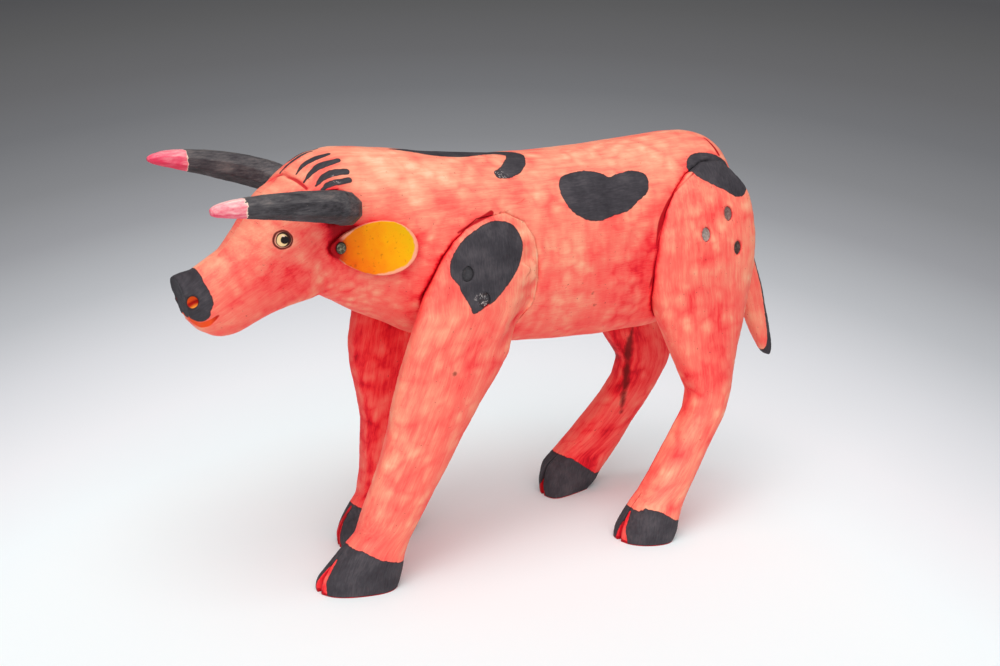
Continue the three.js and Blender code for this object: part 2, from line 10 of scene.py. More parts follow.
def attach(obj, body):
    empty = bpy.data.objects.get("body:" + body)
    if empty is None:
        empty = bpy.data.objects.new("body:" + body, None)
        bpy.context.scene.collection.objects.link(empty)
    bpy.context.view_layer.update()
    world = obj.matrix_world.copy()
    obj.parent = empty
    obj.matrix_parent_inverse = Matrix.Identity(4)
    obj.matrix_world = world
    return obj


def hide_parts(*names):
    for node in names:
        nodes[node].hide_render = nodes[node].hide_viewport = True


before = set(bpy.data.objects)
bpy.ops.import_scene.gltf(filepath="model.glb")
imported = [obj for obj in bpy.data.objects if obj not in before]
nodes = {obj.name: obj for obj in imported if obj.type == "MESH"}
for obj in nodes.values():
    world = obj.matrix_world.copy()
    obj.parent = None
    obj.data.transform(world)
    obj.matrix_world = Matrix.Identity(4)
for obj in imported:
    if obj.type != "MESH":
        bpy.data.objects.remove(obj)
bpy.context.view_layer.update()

# Every table below is in millimetres, in the part's own frame: -X to the muzzle, -Y to the bull's
# left side, +Z up.
MM = 0.001

# Camera and frame of the photograph.
camera_place = (-383.3, -691.9, 317.9)
camera_target = (10.5, 18.5, 85.0)
camera_lens = 69.98
camera_sensor = 36.0

# The trunk's long axis, around which paint on its sides is unrolled.
girth_radius = 36.0
girth_height = 128.0

# Painted outlines. Girth outlines are (x, way round the trunk from the spine).
heart_outline = [
    (14.5, 27.5), (16, 21.8), (21, 19.2), (29, 18.6), (35.5, 20.4), (39.5, 22.8), (44.5, 21.7),
    (51, 21.2), (56, 22.8), (57.3, 26), (55.5, 31), (50.5, 34), (44.5, 37.8), (36.5, 39.3),
    (30.5, 40.6), (24, 39.2), (18, 35),
]
rump_outline = [
    (79, 20.5), (82.5, 17.6), (88, 16.6), (94.5, 17.2), (100.5, 19), (104.5, 24), (106, 30),
    (104.5, 35), (101.5, 37.8), (97.5, 38), (92.5, 35), (86, 31.5), (80.5, 28), (78.3, 24),
]
# Side outlines are (x, z).
leaf_outline = [
    (-20, 147.5), (-14, 146.8), (-9.5, 144), (-7.4, 138), (-8.5, 133.5), (-11.5, 128),
    (-16, 122), (-22, 116.5), (-27.5, 113.8), (-31.6, 112.4), (-33.5, 116.5), (-36.5, 121.5),
    (-38, 125), (-40.4, 128), (-40.6, 132.5), (-38.3, 137.5), (-33.5, 142.3), (-26.5, 145.8),
]
nose_outline = [
    (-134.4, 137), (-133, 131), (-131.1, 126.5), (-130.7, 123.3), (-131.6, 120.5),
    (-132.2, 118), (-134.5, 116.3), (-137.5, 116.7), (-142, 117.8), (-148, 118), (-150, 129),
    (-148, 140), (-141, 141), (-136, 140),
]
ear_outline = [
    (-84.5, 141.5), (-81.5, 145.5), (-76, 150), (-70.8, 152.2), (-65.8, 152.4), (-61.3, 151.2),
    (-58.2, 149.2), (-55.2, 145.4), (-54.2, 141.8), (-54.7, 138.3), (-57.1, 134.3),
    (-61.1, 132.4), (-66.1, 131.2), (-72.2, 131.2), (-77, 133.5), (-82, 137),
]
# Strokes end with their half-width: the spine's is (x, y, half-width), the rest
# (x, y, z, half-width).
# The spine's stroke lies on the surface above this height only.
spine_floor = 135
spine_stroke = [
    (-50, 0.5, 0.5), (-44, 1, 3), (-38, 1, 5), (-30, 0.5, 7), (-20, 1.5, 7.5), (-10, 3, 6),
    (-2, 4.5, 5.5), (4.5, -2.4, 4), (2.8, -8.7, 4), (-0.7, -13.2, 4), (-5.5, -16.6, 3),
    (-10.5, -18.2, 1.8),
]
crown_stroke = [
    (-97.2, 1.5, 169.2, 0.5), (-93.4, 2.4, 172, 1), (-89, 2.6, 174.4, 1.4),
    (-83.5, 2.5, 176.2, 1.1),
]
hair_strokes = [
    [(-94, -7.7, 169.6, 0.4), (-90.3, -6.1, 172.7, 1.1), (-86.1, -6.2, 174.8, 1.5),
     (-79.6, -5.8, 176.1, 1.0)],
    [(-92.8, -12.2, 167.4, 0.4), (-88.6, -11.1, 170.9, 1.2), (-84.6, -10.7, 173, 1.6),
     (-77.8, -10.7, 174.3, 1.1)],
    [(-89.2, -15, 166, 0.5), (-86.1, -14.5, 168.8, 1.2), (-81.8, -14.4, 170.3, 1.5),
     (-76.2, -15.3, 170.5, 1.3)],
    [(-87.3, -16.6, 164.7, 0.5), (-83.5, -16.5, 166.7, 1.3), (-76.2, -17.3, 167.5, 1.2)],
]
brow_cut = [
    (-102, 9, 163.4, 0.4), (-99.4, 4.3, 166.8, 0.7), (-97, -1, 169.3, 0.8),
    (-96.6, -5.2, 169, 0.85), (-95.4, -8.6, 168.4, 0.8), (-94.1, -11.6, 167.1, 0.7),
    (-92.6, -14.2, 165.2, 0.5),
]
mouth_stroke = [
    (-141, 0, 117, 1.0), (-138.3, -3.8, 116.4, 1.3), (-135.4, -5.6, 114.8, 1.6),
    (-133, -7.3, 115, 1.5), (-131.2, -8.4, 116.2, 1.0), (-128.9, -9.7, 118.2, 0.5),
]
tail_stroke = [
    (116, 146, 0.1), (123, 129, 0.6), (129.3, 112, 1.2), (135, 95.3, 1.9), (139.6, 78.3, 2.8),
    (142, 68, 3.6), (139.5, 62.5, 2.8),
]
streak_stroke = [
    (80.7, 21.2, 77.1, 0.5), (80, 23, 66.6, 1.9), (79.7, 24.6, 50.9, 1.7), (77.5, 24.6, 36.4, 0.8),
]
# Painted shade along the open seams, partly red soaked into them: in front of the shoulder, down
# the hip and at the tail's root.
seam_shade_and_stains = [
    [(-34.6, -29, 144.4, 0.25), (-27.2, -28.8, 147.6, 0.5), (-19.2, -28, 150.5, 0.95)],
    [(80.2, -25.5, 157.1, 0.25), (73.5, -27, 153, 0.3), (66.6, -28.1, 148, 0.35),
     (63.2, -29.2, 143.8, 0.6), (60.3, -30.4, 138.4, 1.1), (58.5, -30.8, 132.6, 0.35),
     (57.4, -30.5, 124, 0.3), (56.6, -30.1, 114, 0.45), (55, -29.5, 100, 0.5)],
    [(96.2, -8.7, 167.2, 0.35), (97.2, -13, 165, 0.6), (98.4, -17.2, 161.6, 0.6)],
]
# Small brown spots, and grey-white places on the black paint: partly chips, partly painted glints
# where the paint would catch the light, and one a painted highlight on the glue.
small_marks = [
    (-39.9, -35.3, 88.5, 1.1), (27.4, -30.3, 112.1, 0.8), (29.4, -28.8, 106.4, 0.9),
    (84.2, -30.2, 147.4, 0.45),
]
chip_and_glint_places = [(-28.5, -33, 118, 4.2), (-9.5, -17.8, 163, 3.4), (-81, -16.2, 168.4, 2.2)]

# Top edge of the black on each hoof (x, z), and the bare cleft between its claws.
hoof_lines = {
    "front_left_leg": [(-84, 18.8), (-79, 18.2), (-76, 16.2), (-72.5, 14.2), (-63.5, 11),
                       (-50, 9.8)],
    "front_right_leg": [(-60, 17.5), (-55, 16), (-49, 14), (-38, 10.5), (-28, 9.8)],
    "hind_left_leg": [(48, 14), (50, 15.6), (54, 15), (58.4, 12.4), (62.2, 9.5), (66, 8.5)],
    "hind_right_leg": [(48.9, 18.7), (52.3, 17.6), (65, 8)],
}
claw_clefts = {
    "front_left_leg": [(-87.1, -21.5, 13, 0.5), (-94, -21.2, 1.8, 4.2)],
    "front_right_leg": [(-60.3, 23, 16, 0.6), (-67, 23, 1.5, 4.2)],
    "hind_left_leg": [(46.1, -32.5, 12.6, 0.6), (41.5, -33, 0.6, 4)],
    "hind_right_leg": [(46.1, 32.9, 13, 0.5), (41.5, 33.3, 0.6, 3.4)],
}
bare_sole_height = 0.3

eye_centre = (-104.3, 16.9, 146.9)
eye_turn = 0.40
nostril_centre = (-137.7, 6, 123.8)


def colour(code):
    """An sRGB hex code as linear red, green, blue and alpha."""
    channels = [int(code[start:start + 2], 16) / 255 for start in (1, 3, 5)]
    linear = [c / 12.92 if c <= 0.04045 else ((c + 0.055) / 1.055) ** 2.4 for c in channels]
    return (*linear, 1.0)


# Painted shapes


def smooth_line(rows, closed=False):
    """Points on a smooth curve through the rows, with every column blended alike."""
    per_side = 4
    rows = np.array(rows, float)
    if closed:
        padded = np.vstack([rows[-1:], rows, rows[:2]])
    else:
        padded = np.vstack([2 * rows[:1] - rows[1:2], rows, 2 * rows[-1:] - rows[-2:-1]])
    parts = []
    for a, b, c, d in zip(padded[:-3], padded[1:-2], padded[2:-1], padded[3:]):
        for t in np.arange(per_side) / per_side:
            parts.append(0.5 * (2 * b + (c - a) * t + (2 * a - 5 * b + 4 * c - d) * t ** 2
                                + (3 * b - a - 3 * c + d) * t ** 3))
    if not closed:
        parts.append(rows[-1])
    return np.array(parts)


def nearest_on(points, starts, ends):
    """For each point and each segment, the share along it and the distance to it."""
    along = ends - starts
    length = np.maximum((along ** 2).sum(1), 1e-9)
    share = np.clip(((points[:, None] - starts[None]) * along[None]).sum(2) / length, 0, 1)
    gap = points[:, None] - starts[None] - share[..., None] * along[None]
    return share, np.sqrt((gap ** 2).sum(2))


# Depths are only worked out this near to a shape.
reach_out = 4.0


def outline_depth(flat, outline):
    """How far inside a closed outline each flat point lies, negative outside."""
    loop = smooth_line(outline, closed=True)
    low, high = loop.min(0) - reach_out, loop.max(0) + reach_out
    depth = np.full(len(flat), -reach_out)
    near = np.flatnonzero(((flat > low) & (flat < high)).all(1))
    if not len(near):
        return depth
    points = flat[near]
    ends = np.roll(loop, -1, axis=0)
    distance = nearest_on(points, loop, ends)[1].min(1)
    crosses = (loop[None, :, 1] > points[:, None, 1]) != (ends[None, :, 1] > points[:, None, 1])
    rise = np.where(ends[:, 1] == loop[:, 1], 1e-9, ends[:, 1] - loop[:, 1])
    slope = (ends[:, 0] - loop[:, 0]) / rise
    crossing = loop[None, :, 0] + (points[:, None, 1] - loop[None, :, 1]) * slope
    inside = (crosses & (crossing > points[:, None, 0])).sum(1) % 2 == 1
    depth[near] = np.where(inside, distance, -np.minimum(distance, reach_out))
    return depth


def stroke_depth(points, stroke):
    """How far inside a stroke of changing width each point lies, negative outside."""
    line = smooth_line(stroke) if len(stroke) > 2 else np.array(stroke, float)
    path, half_width = line[:, :-1], line[:, -1]
    edge = reach_out + half_width.max()
    depth = np.full(len(points), -reach_out)
    near = np.flatnonzero(((points > path.min(0) - edge) & (points < path.max(0) + edge)).all(1))
    if not len(near):
        return depth
    share, distance = nearest_on(points[near], path[:-1], path[1:])
    width = half_width[:-1] + share * (half_width[1:] - half_width[:-1])
    depth[near] = np.maximum((width - distance).max(1), -reach_out)
    return depth


def ball_depth(points, balls):
    """How far inside the nearest of some balls each point lies, negative outside."""
    depths = [radius - np.linalg.norm(points - np.array(centre), axis=1)
              for *centre, radius in balls]
    return np.maximum(np.max(depths, axis=0), -reach_out)


def ease(value, low, high):
    """0 below low, 1 above high, and an S curve between."""
    t = np.clip((value - low) / (high - low), 0, 1)
    return t * t * (3 - 2 * t)


def girth(points):
    """The way round the trunk from the spine."""
    return girth_radius * np.arctan2(np.abs(points[:, 1]), points[:, 2] - girth_height)


def folded(points):
    """The points folded to the bull's left side."""
    return np.stack([points[:, 0], -np.abs(points[:, 1]), points[:, 2]], 1)


def lumps(points, size, seed):
    """Smooth noise from -1 to 1 in lumps of about the given size."""
    shift = Vector((seed * 17.3, seed * 5.1, seed * 9.7))
    return np.array([noise.noise(Vector(point) / size + shift) for point in points])


# Carved pieces: copies of the CAD solids, split finely, sanded and cut by moving their points


def cad_form(*names):
    """The welded solids of some CAD nodes."""
    form = bmesh.new()
    for name in names:
        form.from_mesh(nodes[name].data)
    bmesh.ops.remove_doubles(form, verts=form.verts, dist=0.01 * MM)
    bmesh.ops.dissolve_degenerate(form, edges=form.edges, dist=0.001 * MM)
    bmesh.ops.triangulate(form, faces=form.faces)
    return form


def points_of(mesh):
    """The places of a mesh's points, in millimetres."""
    flat = np.empty(3 * len(mesh.vertices), np.float32)
    mesh.vertices.foreach_get("co", flat)
    return flat.reshape(-1, 3).astype(float) / MM


def normals_of(mesh):
    """The outward direction at each point of a mesh."""
    flat = np.empty(3 * len(mesh.vertices), np.float32)
    mesh.vertices.foreach_get("normal", flat)
    return flat.reshape(-1, 3).astype(float)


def put_points(mesh, points):
    """Moves a mesh's points to places given in millimetres."""
    mesh.vertices.foreach_set("co", (points * MM).astype(np.float32).ravel())
    mesh.update()


def edges_of(mesh):
    """The point pairs of a mesh's edges, and which of them are arrises."""
    pairs = np.empty(2 * len(mesh.edges), np.int32)
    mesh.edges.foreach_get("vertices", pairs)
    arris = np.empty(len(mesh.edges), bool)
    mesh.edges.foreach_get("use_edge_sharp", arris)
    return pairs.reshape(-1, 2), arris


def marked_copy(name, arris_degrees):
    """A welded copy of a CAD node with its arrises marked sharp."""
    form = cad_form(name)
    for edge in form.edges:
        edge.smooth = edge.calc_face_angle(0) < math.radians(arris_degrees)
    mesh = bpy.data.meshes.new("carved_" + name)
    form.to_mesh(mesh)
    form.free()
    return mesh


def split_long(mesh, limit):
    """Halves the edges that are too long until hardly any is left, longest first in each face.

    The limit is a length, or a function that gives one for each edge."""
    most_rounds, share_left = 60, 400
    for _ in range(most_rounds):
        points, (pairs, _) = points_of(mesh), edges_of(mesh)
        length = np.linalg.norm(points[pairs[:, 0]] - points[pairs[:, 1]], axis=1)
        long = length > (limit(points, pairs, length) if callable(limit) else limit)
        if long.sum() <= len(long) // share_left:
            return
        sides = np.empty(len(mesh.loops), np.int32)
        mesh.loops.foreach_get("edge_index", sides)
        sides = sides.reshape(-1, 3)
        rank = np.empty(len(length), int)
        rank[np.argsort(length, kind="stable")] = np.arange(len(length))
        shorter = rank[sides] < rank[sides].max(1, keepdims=True)
        wanted = long[sides].any(1)
        long[sides[np.arange(len(sides)), rank[sides].argmax(1)][wanted]] = True
        long[sides[shorter & wanted[:, None]]] = False
        form = bmesh.new()
        form.from_mesh(mesh)
        form.edges.ensure_lookup_table()
        chosen = [form.edges[index] for index in np.flatnonzero(long)]
        bmesh.ops.bisect_edges(form, edges=chosen, cuts=1)
        halved = [face for face in form.faces if len(face.verts) > 3]
        bmesh.ops.triangulate(form, faces=halved, quad_method="SHORT_EDGE")
        form.to_mesh(mesh)
        form.free()


def sanded(mesh, freedom, rounds, pull=-0.513, keep_arris=True):
    """The points after sanding, which doesn't shrink the piece unless pull is 0.

    Freedom is how much each point may move. Where arrises are kept, their points stay on them."""
    push = 0.5
    points, (pairs, arris) = points_of(mesh), edges_of(mesh)
    arris = arris & keep_arris
    count = len(points)
    on_arris = np.bincount(pairs[arris].ravel(), minlength=count)
    start = np.concatenate([pairs[:, 0], pairs[:, 1]])
    end = np.concatenate([pairs[:, 1], pairs[:, 0]])
    used = np.tile(arris, 2) | (on_arris[start] == 0)
    start, end = start[used], end[used]
    neighbours = np.maximum(np.bincount(start, minlength=count), 1)
    moving = np.where((on_arris == 0) | (on_arris == 2), freedom, 0)[:, None]
    for step in range(2 * rounds):
        mean = np.stack([np.bincount(start, points[end, axis], count) for axis in range(3)], 1)
        mean /= neighbours[:, None]
        points = points + (push if step % 2 == 0 else pull) * moving * (mean - points)
    return points


def gap_to(points, tree, reach):
    """Distance and direction from each point to the nearest neighbouring piece."""
    distance = np.full(len(points), reach)
    way = np.zeros_like(points)
    for index, point in enumerate(points):
        place, _, _, gap = tree.find_nearest(Vector(point) * MM, reach * MM)
        if place is not None:
            distance[index] = gap / MM
            way[index] = (np.array(place) / MM - point) / max(gap / MM, 1e-9)
    return distance, way


def hidden_share(mesh, tree):
    """1 on the points of faces that lie close against a neighbouring piece, else 0; and which
    faces those are."""
    touching = 0.6
    count = len(mesh.polygons)
    centres, facing = np.empty(3 * count, np.float32), np.empty(3 * count, np.float32)
    corners = np.empty(3 * count, np.int32)
    mesh.polygons.foreach_get("center", centres)
    mesh.polygons.foreach_get("normal", facing)
    mesh.loops.foreach_get("vertex_index", corners)
    centres, facing = centres.reshape(-1, 3) / MM, facing.reshape(-1, 3)
    corners = corners.reshape(-1, 3)
    gap, way = gap_to(centres, tree, touching + 0.1)
    hidden_faces = (gap < touching) & ((way * facing).sum(1) > 0.7)
    hidden = np.zeros(len(mesh.vertices))
    hidden[corners[hidden_faces].ravel()] = 1
    return hidden, hidden_faces


def attribute(mesh, name, values):
    """Stores a number or a vector with each point of a mesh."""
    kind, field = ("FLOAT", "value") if values.ndim == 1 else ("FLOAT_VECTOR", "vector")
    data = mesh.attributes.new(name, kind, "POINT").data
    data.foreach_set(field, values.astype(np.float32).ravel())


def stands_for(mesh, name, material, smooth_degrees=50):
    """Turns a finished mesh into the piece that replaces a CAD node."""
    mesh.polygons.foreach_set("use_smooth", np.ones(len(mesh.polygons), bool))
    mesh.set_sharp_from_angle(angle=math.radians(smooth_degrees))
    mesh.materials.append(material)
    piece = bpy.data.objects.new(mesh.name, mesh)
    bpy.context.scene.collection.objects.link(piece)
    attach(piece, "root")
    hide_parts(name)


# Paint and wash on each piece


def paint_depth(name, points):
    """Depth inside the charcoal paint of a piece, in millimetres."""
    left = folded(points)
    side = points[:, [0, 2]]
    unrolled = np.stack([points[:, 0], girth(points)], 1)
    shapes = []
    if name == "body":
        spine = stroke_depth(points[:, :2], spine_stroke)
        shapes = [outline_depth(unrolled, heart_outline), outline_depth(unrolled, rump_outline),
                  outline_depth(side, nose_outline), stroke_depth(points, crown_stroke),
                  np.where(points[:, 2] > spine_floor, spine, -reach_out)]
        shapes += [stroke_depth(left, stroke) for stroke in hair_strokes]
    elif name.endswith("_leg"):
        patch = (unrolled, rump_outline) if name.startswith("hind") else (side, leaf_outline)
        line = np.array(hoof_lines[name], float)
        hoof = (np.interp(points[:, 0], line[:, 0], line[:, 1]) - points[:, 2]) * 0.9
        hoof = np.minimum(hoof, (points[:, 2] - bare_sole_height) * 2)
        hoof = np.minimum(hoof, -stroke_depth(points, claw_clefts[name]))
        shapes = [outline_depth(*patch), hoof]
    elif name == "tail":
        shapes = [stroke_depth(side, tail_stroke)]
    return np.max(shapes, axis=0)


def seam_shade_and_stain_depth(points):
    """Depth inside the painted shade along the open seams, partly red soaked into them."""
    return np.max([stroke_depth(folded(points), stroke) for stroke in seam_shade_and_stains], axis=0)


def thin_depth(name, points):
    """How near each point lies to an edge of paint, a thin stroke or a cut."""
    depth = np.minimum(np.abs(paint_depth(name, points)), np.abs(seam_shade_and_stain_depth(points)))
    if name == "body":
        depth = np.minimum(depth, np.abs(stroke_depth(points, brow_cut)))
        depth = np.minimum(depth, np.abs(stroke_depth(folded(points), mouth_stroke)))
    return depth


# The head's brush marks run down its slope, in radians, and go on from the trunk's. A leg's start
# at the way round to the middle of the trunk's side. The right side's are moved on, so that the
# two sides differ.
head_slope = 0.59
head_top = 165
head_shift = (-6, 61)
way_to_side = 56.5
right_shift = 300


def brush_way(name, points):
    """Places along, across and outwards from the brush marks, for the wash and grain."""
    x, y, z = points.T
    out = np.hypot(y, z - girth_height) + right_shift * (y > 0)
    if name == "body":
        along_share, down_share = math.cos(head_slope), math.sin(head_slope)
        head = ease(-x, 66, 96)
        head_along = x * along_share + (z - head_top) * down_share + head_shift[0]
        head_across = (head_top - z) * along_share + x * down_share + head_shift[1]
        along = x * (1 - head) + head * head_along
        across = girth(points) * (1 - head) + head * head_across
        return np.stack([along, across, out], 1)
    # A leg's and the tail's marks follow the middle of the piece, found in bands 12 mm tall.
    bands, half_band, highest = 14, 6, 112
    heights = np.linspace(z.min(), min(z.max(), highest), bands)
    middles = np.array([x[np.abs(z - height) < half_band].mean() for height in heights])
    lean = np.interp(z, heights, middles)
    return np.stack([way_to_side + girth_height - z, x - lean,
                     np.abs(y) + right_shift * (y > 0)], 1)


# Broad lighter and deeper places of the wash, among them painted shade under the horn round the
# ear's root: (x, y, z, radius, amount).
wash_and_painted_shade_places = [
    (-42.5, -28.4, 138.2, 9, 0.16), (-48.2, -26, 122, 9, 0.2), (-52.6, -25.6, 110, 8, 0.2),
    (-86, -20, 158, 8, 0.3), (-80, -24, 146, 9, 0.48), (-63, -15.4, 113.3, 10, -0.04),
    (-60, -16, 164, 18, -0.12), (-120, -10, 150, 14, -0.1), (-109, -15, 127, 14, 0.19),
    (10.8, -31.3, 132.6, 13, -0.2), (12.7, -28.4, 106.3, 14, -0.12), (2, -29, 146, 11, -0.02),
    (45, -30, 108, 13, 0.12), (53, -31, 124, 9, 0.14), (-46, -34.8, 107.5, 10, -0.18),
    (-51, -34.7, 70.8, 16, -0.04), (-60, -34, 50, 10, 0.12), (71.6, -36.6, 109.2, 14, 0.04),
    (77.5, -34, 138, 12, 0.02), (58, -34, 44, 14, 0.06), (78.5, -36.1, 68.3, 13, 0.2),
    (64, -33, 28, 12, 0.02), (-68.5, -32.9, 30.8, 12, -0.06), (95, -10, 168, 10, 0.04),
    (-12, -32, 138, 8, -0.08), (63, -35, 60, 11, 0.12),
]


def wash_and_painted_shade_depth(name, points, normals, gap, hollow_shade, filled):
    """How deep the red wash looks, from 0 to about 1: the stain, with painted shade on downward and
    inward faces, the far legs' front faces, hollows and seams, painted light on upward faces, and
    deeper low on the block.
    """
    _, y, z = points.T
    up = normals[:, 2]
    # Painted light on faces turned up and painted shade on faces turned down.
    depth = 0.45 + 0.06 * ease(-up, 0.0, 0.9) - 0.12 * ease(up, 0.25, 0.95)
    if name == "body":
        # Darker towards the bottom of the block.
        depth += 0.05 * (1 - ease(z, 96, 150))
    else:
        # Painted shade on the faces turned inward, toward the other side.
        inward_shade = ease(-normals[:, 1] * np.sign(y), 0.1, 0.8)
        depth += 0.24 * inward_shade * (name != "tail") - 0.03 * (name == "tail")
    if name.endswith("_leg"):
        depth += 0.36 * ease(stroke_depth(points, claw_clefts[name]), -1.0, 0.5)
        depth += 0.8 * (1 - ease(z, 0.4, 1.4))
    if name.endswith("right_leg"):
        # Painted shade on the far legs' faces turned to the front.
        depth += 0.22 * ease(-normals[:, 0], 0.2, 0.8)
    left = folded(points)
    for *place, radius, amount in wash_and_painted_shade_places:
        depth += amount * np.exp(-((left - np.array(place)) ** 2).sum(1) / radius ** 2)
    # Painted shade near the open seams, partly stain soaked into them.
    open_seam_shade = 1 - filled
    depth += open_seam_shade * (0.4 * np.exp(-np.maximum(gap - 0.3, 0) / 0.6) + 0.12 * np.exp(-gap / 5))
    # Painted shade in hollows, partly pooled stain, and slightly paler on bulges.
    return depth + np.clip(hollow_shade, -0.1, 0.35)


def filled_seam(points):
    """1 where the shoulder's rim is pared flush, and 1 where the seam is filled, at the shoulder's
    rear rim and at the top of the hip, else 0."""
    x, _, z = points.T
    shoulder = ease(x, -22, -15) * (x < 40) * ease(z, 92, 104)
    hip = ease(x, 81, 85) * ease(z, 146, 150)
    return shoulder, np.maximum(shoulder, hip)


# The outer surface of the block, kept when it is carved, because the shoulders' rims are brought
# down to it.
block_surface = []


def laid_flush(points, normals, hidden, filled):
    """Brings the rim of a leg down to the block's surface where it is pared flush."""
    points = points.copy()
    blend, search, below = 12.0, 16.0, 0.06
    for index in np.flatnonzero((filled > 0.01) & (hidden < 0.5)):
        place, normal, _, _ = block_surface[0].find_nearest(Vector(points[index]) * MM,
                                                            search * MM)
        if place is None:
            continue
        away = points[index] - np.array(place) / MM
        facing = np.array(normal)
        height = away @ facing
        if height <= 0 or normals[index] @ facing < -0.3:
            continue
        aside = np.linalg.norm(away - height * facing)
        sink = height * (1 - ease(aside, 0.4, blend)) + below * (1 - ease(aside, 0.8, 2))
        points[index] -= facing * sink * filled[index]
    return points


def nail_line(name):
    """A CAD nail's middle line, its radii, and heights along the line, with the head highest."""
    form = cad_form(name)
    points = np.array([point.co[:] for point in form.verts]) / MM
    form.free()
    middle = points.mean(0)
    axis = np.linalg.svd(points - middle, full_matrices=False)[2][0]
    along = (points - middle) @ axis
    away = points - middle - along[:, None] * axis
    if along[np.linalg.norm(away, axis=1).argmax()] < 0:
        axis, along = -axis, -along
    top = along > along.max() - 0.6
    middle = middle + away[top].mean(0)
    radius = np.linalg.norm(points - middle - ((points - middle) @ axis)[:, None] * axis, axis=1)
    along = (points - middle) @ axis
    head = radius.max()
    under = along[radius > 0.9 * head].min()
    body = (along > along.min() + 2) & (along < under - 0.4)
    shank = radius[body].max() if body.any() else 0.4 * head
    return {"middle": middle, "axis": axis, "head": head, "shank": shank,
            "low": along.min(), "under": under, "top": along.max()}


# How wide each nail's head looks against its height, because its face was driven in at a slant.
head_widths = {"leg_nail_front": 0.76, "leg_nail_top": 0.76, "leg_nail_rear": 0.72,
               "leg_nail_upper": 0.86, "leg_nail_lower": 0.9, "ear_nail": 0.84, "tail_nail": 1.0}


def head_width(name):
    """The width of a nail's head as a share of its height."""
    return next(width for part, width in head_widths.items() if part in name)


def narrowed(points, line, width):
    """Squeezes the wood round a nail so that its hole closes on the narrowed head."""
    squeeze = 0.09
    middle, axis = line["middle"], line["axis"]
    across = np.cross(axis, (0, 0, 1))
    across /= np.linalg.norm(across)
    away = points - middle
    along = away @ axis
    flat = away - along[:, None] * axis
    radius = np.linalg.norm(flat, axis=1)
    near = (1 - ease(radius, line["head"] + 0.6, line["head"] + 4)) * (along > line["under"] - 1.5)
    closed = 1 - squeeze * near
    sideways = flat @ across
    moved = flat * (closed - 1)[:, None] + np.outer(sideways * near * (width - 1), across)
    return points + moved


def carved(name, arris_degrees, rounds, coarse, fine, relief, material):
    """A carved wooden piece with its paint, wash and seams worked out at every point.

    Rounds is how long it was sanded, coarse and fine are the longest edges before and after that,
    and relief is the height of its unevenness."""
    near_edge, edge_side = 0.5, 0.65
    gap_reach = 12.0
    brow_deep, mouth_deep = 0.6, 0.35
    mesh = marked_copy(name, arris_degrees)
    neighbours = cad_form(*[other for other in nodes if other != name])
    tree = BVHTree.FromBMesh(neighbours)
    neighbours.free()
    split_long(mesh, coarse)
    hidden, hidden_faces = hidden_share(mesh, tree)
    if name == "body":
        surface = bmesh.new()
        surface.from_mesh(mesh)
        surface.faces.ensure_lookup_table()
        covered = [surface.faces[index] for index in np.flatnonzero(hidden_faces)]
        bmesh.ops.delete(surface, geom=covered, context="FACES")
        block_surface.append(BVHTree.FromBMesh(surface))
        surface.free()
    points = points_of(mesh)
    freedom = 1 - hidden
    if name == "body":
        muzzle = ease(-points[:, 0], 127, 132)
        head = ease(-points[:, 0], 62, 82)
        freedom *= (1 - 0.5 * head) * (1 - 0.8 * muzzle)
    put_points(mesh, sanded(mesh, freedom, rounds))
    split_long(mesh, fine)
    hidden, _ = hidden_share(mesh, tree)
    if name.endswith("_leg"):
        points = points_of(mesh)
        pared = filled_seam(points)[0]
        put_points(mesh, laid_flush(points, normals_of(mesh), hidden, pared))
        put_points(mesh, sanded(mesh, pared * (1 - hidden), 25, keep_arris=False))
    attribute(mesh, "hidden", hidden)

    def thin_limit(points, pairs, length):
        near = np.abs(thin_depth(name, points))
        crossing = near[pairs].mean(1) - length / 2 < near_edge
        return np.where(crossing, edge_side, 2 * fine)

    split_long(mesh, thin_limit)
    hidden = np.empty(len(mesh.vertices), np.float32)
    mesh.attributes["hidden"].data.foreach_get("value", hidden)
    hidden = (hidden > 0.99).astype(float)
    put_points(mesh, sanded(mesh, 1 - hidden, 8))

    points, normals = points_of(mesh), normals_of(mesh)
    gap, way = gap_to(points, tree, gap_reach)
    filled = filled_seam(points)[1]
    free = ease(gap, 1.0, 5.0) * (1 - hidden)
    if name.endswith("_leg"):
        free *= ease(points[:, 2], 0.5, 3)
    swell = relief * lumps(points, 14, 1) + 0.35 * relief * lumps(points, 5, 2)
    points = points + normals * (swell * free)[:, None]
    if name == "body":
        closing = filled * (gap < 0.9) * np.maximum(gap - 0.03, 0)
        points = points + way * closing[:, None]
        cut = brow_deep * ease(stroke_depth(points, brow_cut), -0.6, 0.5)
        cut += mouth_deep * ease(stroke_depth(folded(points), mouth_stroke), -0.5, 0.8)
        points = points - normals * cut[:, None]
    else:
        for nail in nail_lines:
            if nail.startswith(name):
                points = narrowed(points, nail_lines[nail], head_width(nail))
    put_points(mesh, points)
    broad = sanded(mesh, np.ones(len(points)), 25, pull=0, keep_arris=False)
    normals = normals_of(mesh)
    # How far each point lies in a hollow, for the painted shade there.
    hollow_shade = ((broad - points) * normals).sum(1) * 0.3
    attribute(mesh, "paint", paint_depth(name, points))
    attribute(mesh, "wash", wash_and_painted_shade_depth(name, points, normals, gap, hollow_shade, filled))
    attribute(mesh, "stain", seam_shade_and_stain_depth(points))
    attribute(mesh, "brush", brush_way(name, points))
    attribute(mesh, "mark", ball_depth(points, small_marks))
    attribute(mesh, "chip_and_glint", ball_depth(folded(points), chip_and_glint_places))
    if name == "body":
        attribute(mesh, "mouth", stroke_depth(folded(points), mouth_stroke))
        attribute(mesh, "cut", stroke_depth(points, brow_cut))
    if name == "hind_right_leg":
        attribute(mesh, "streak", stroke_depth(points, streak_stroke))
    stands_for(mesh, name, material)


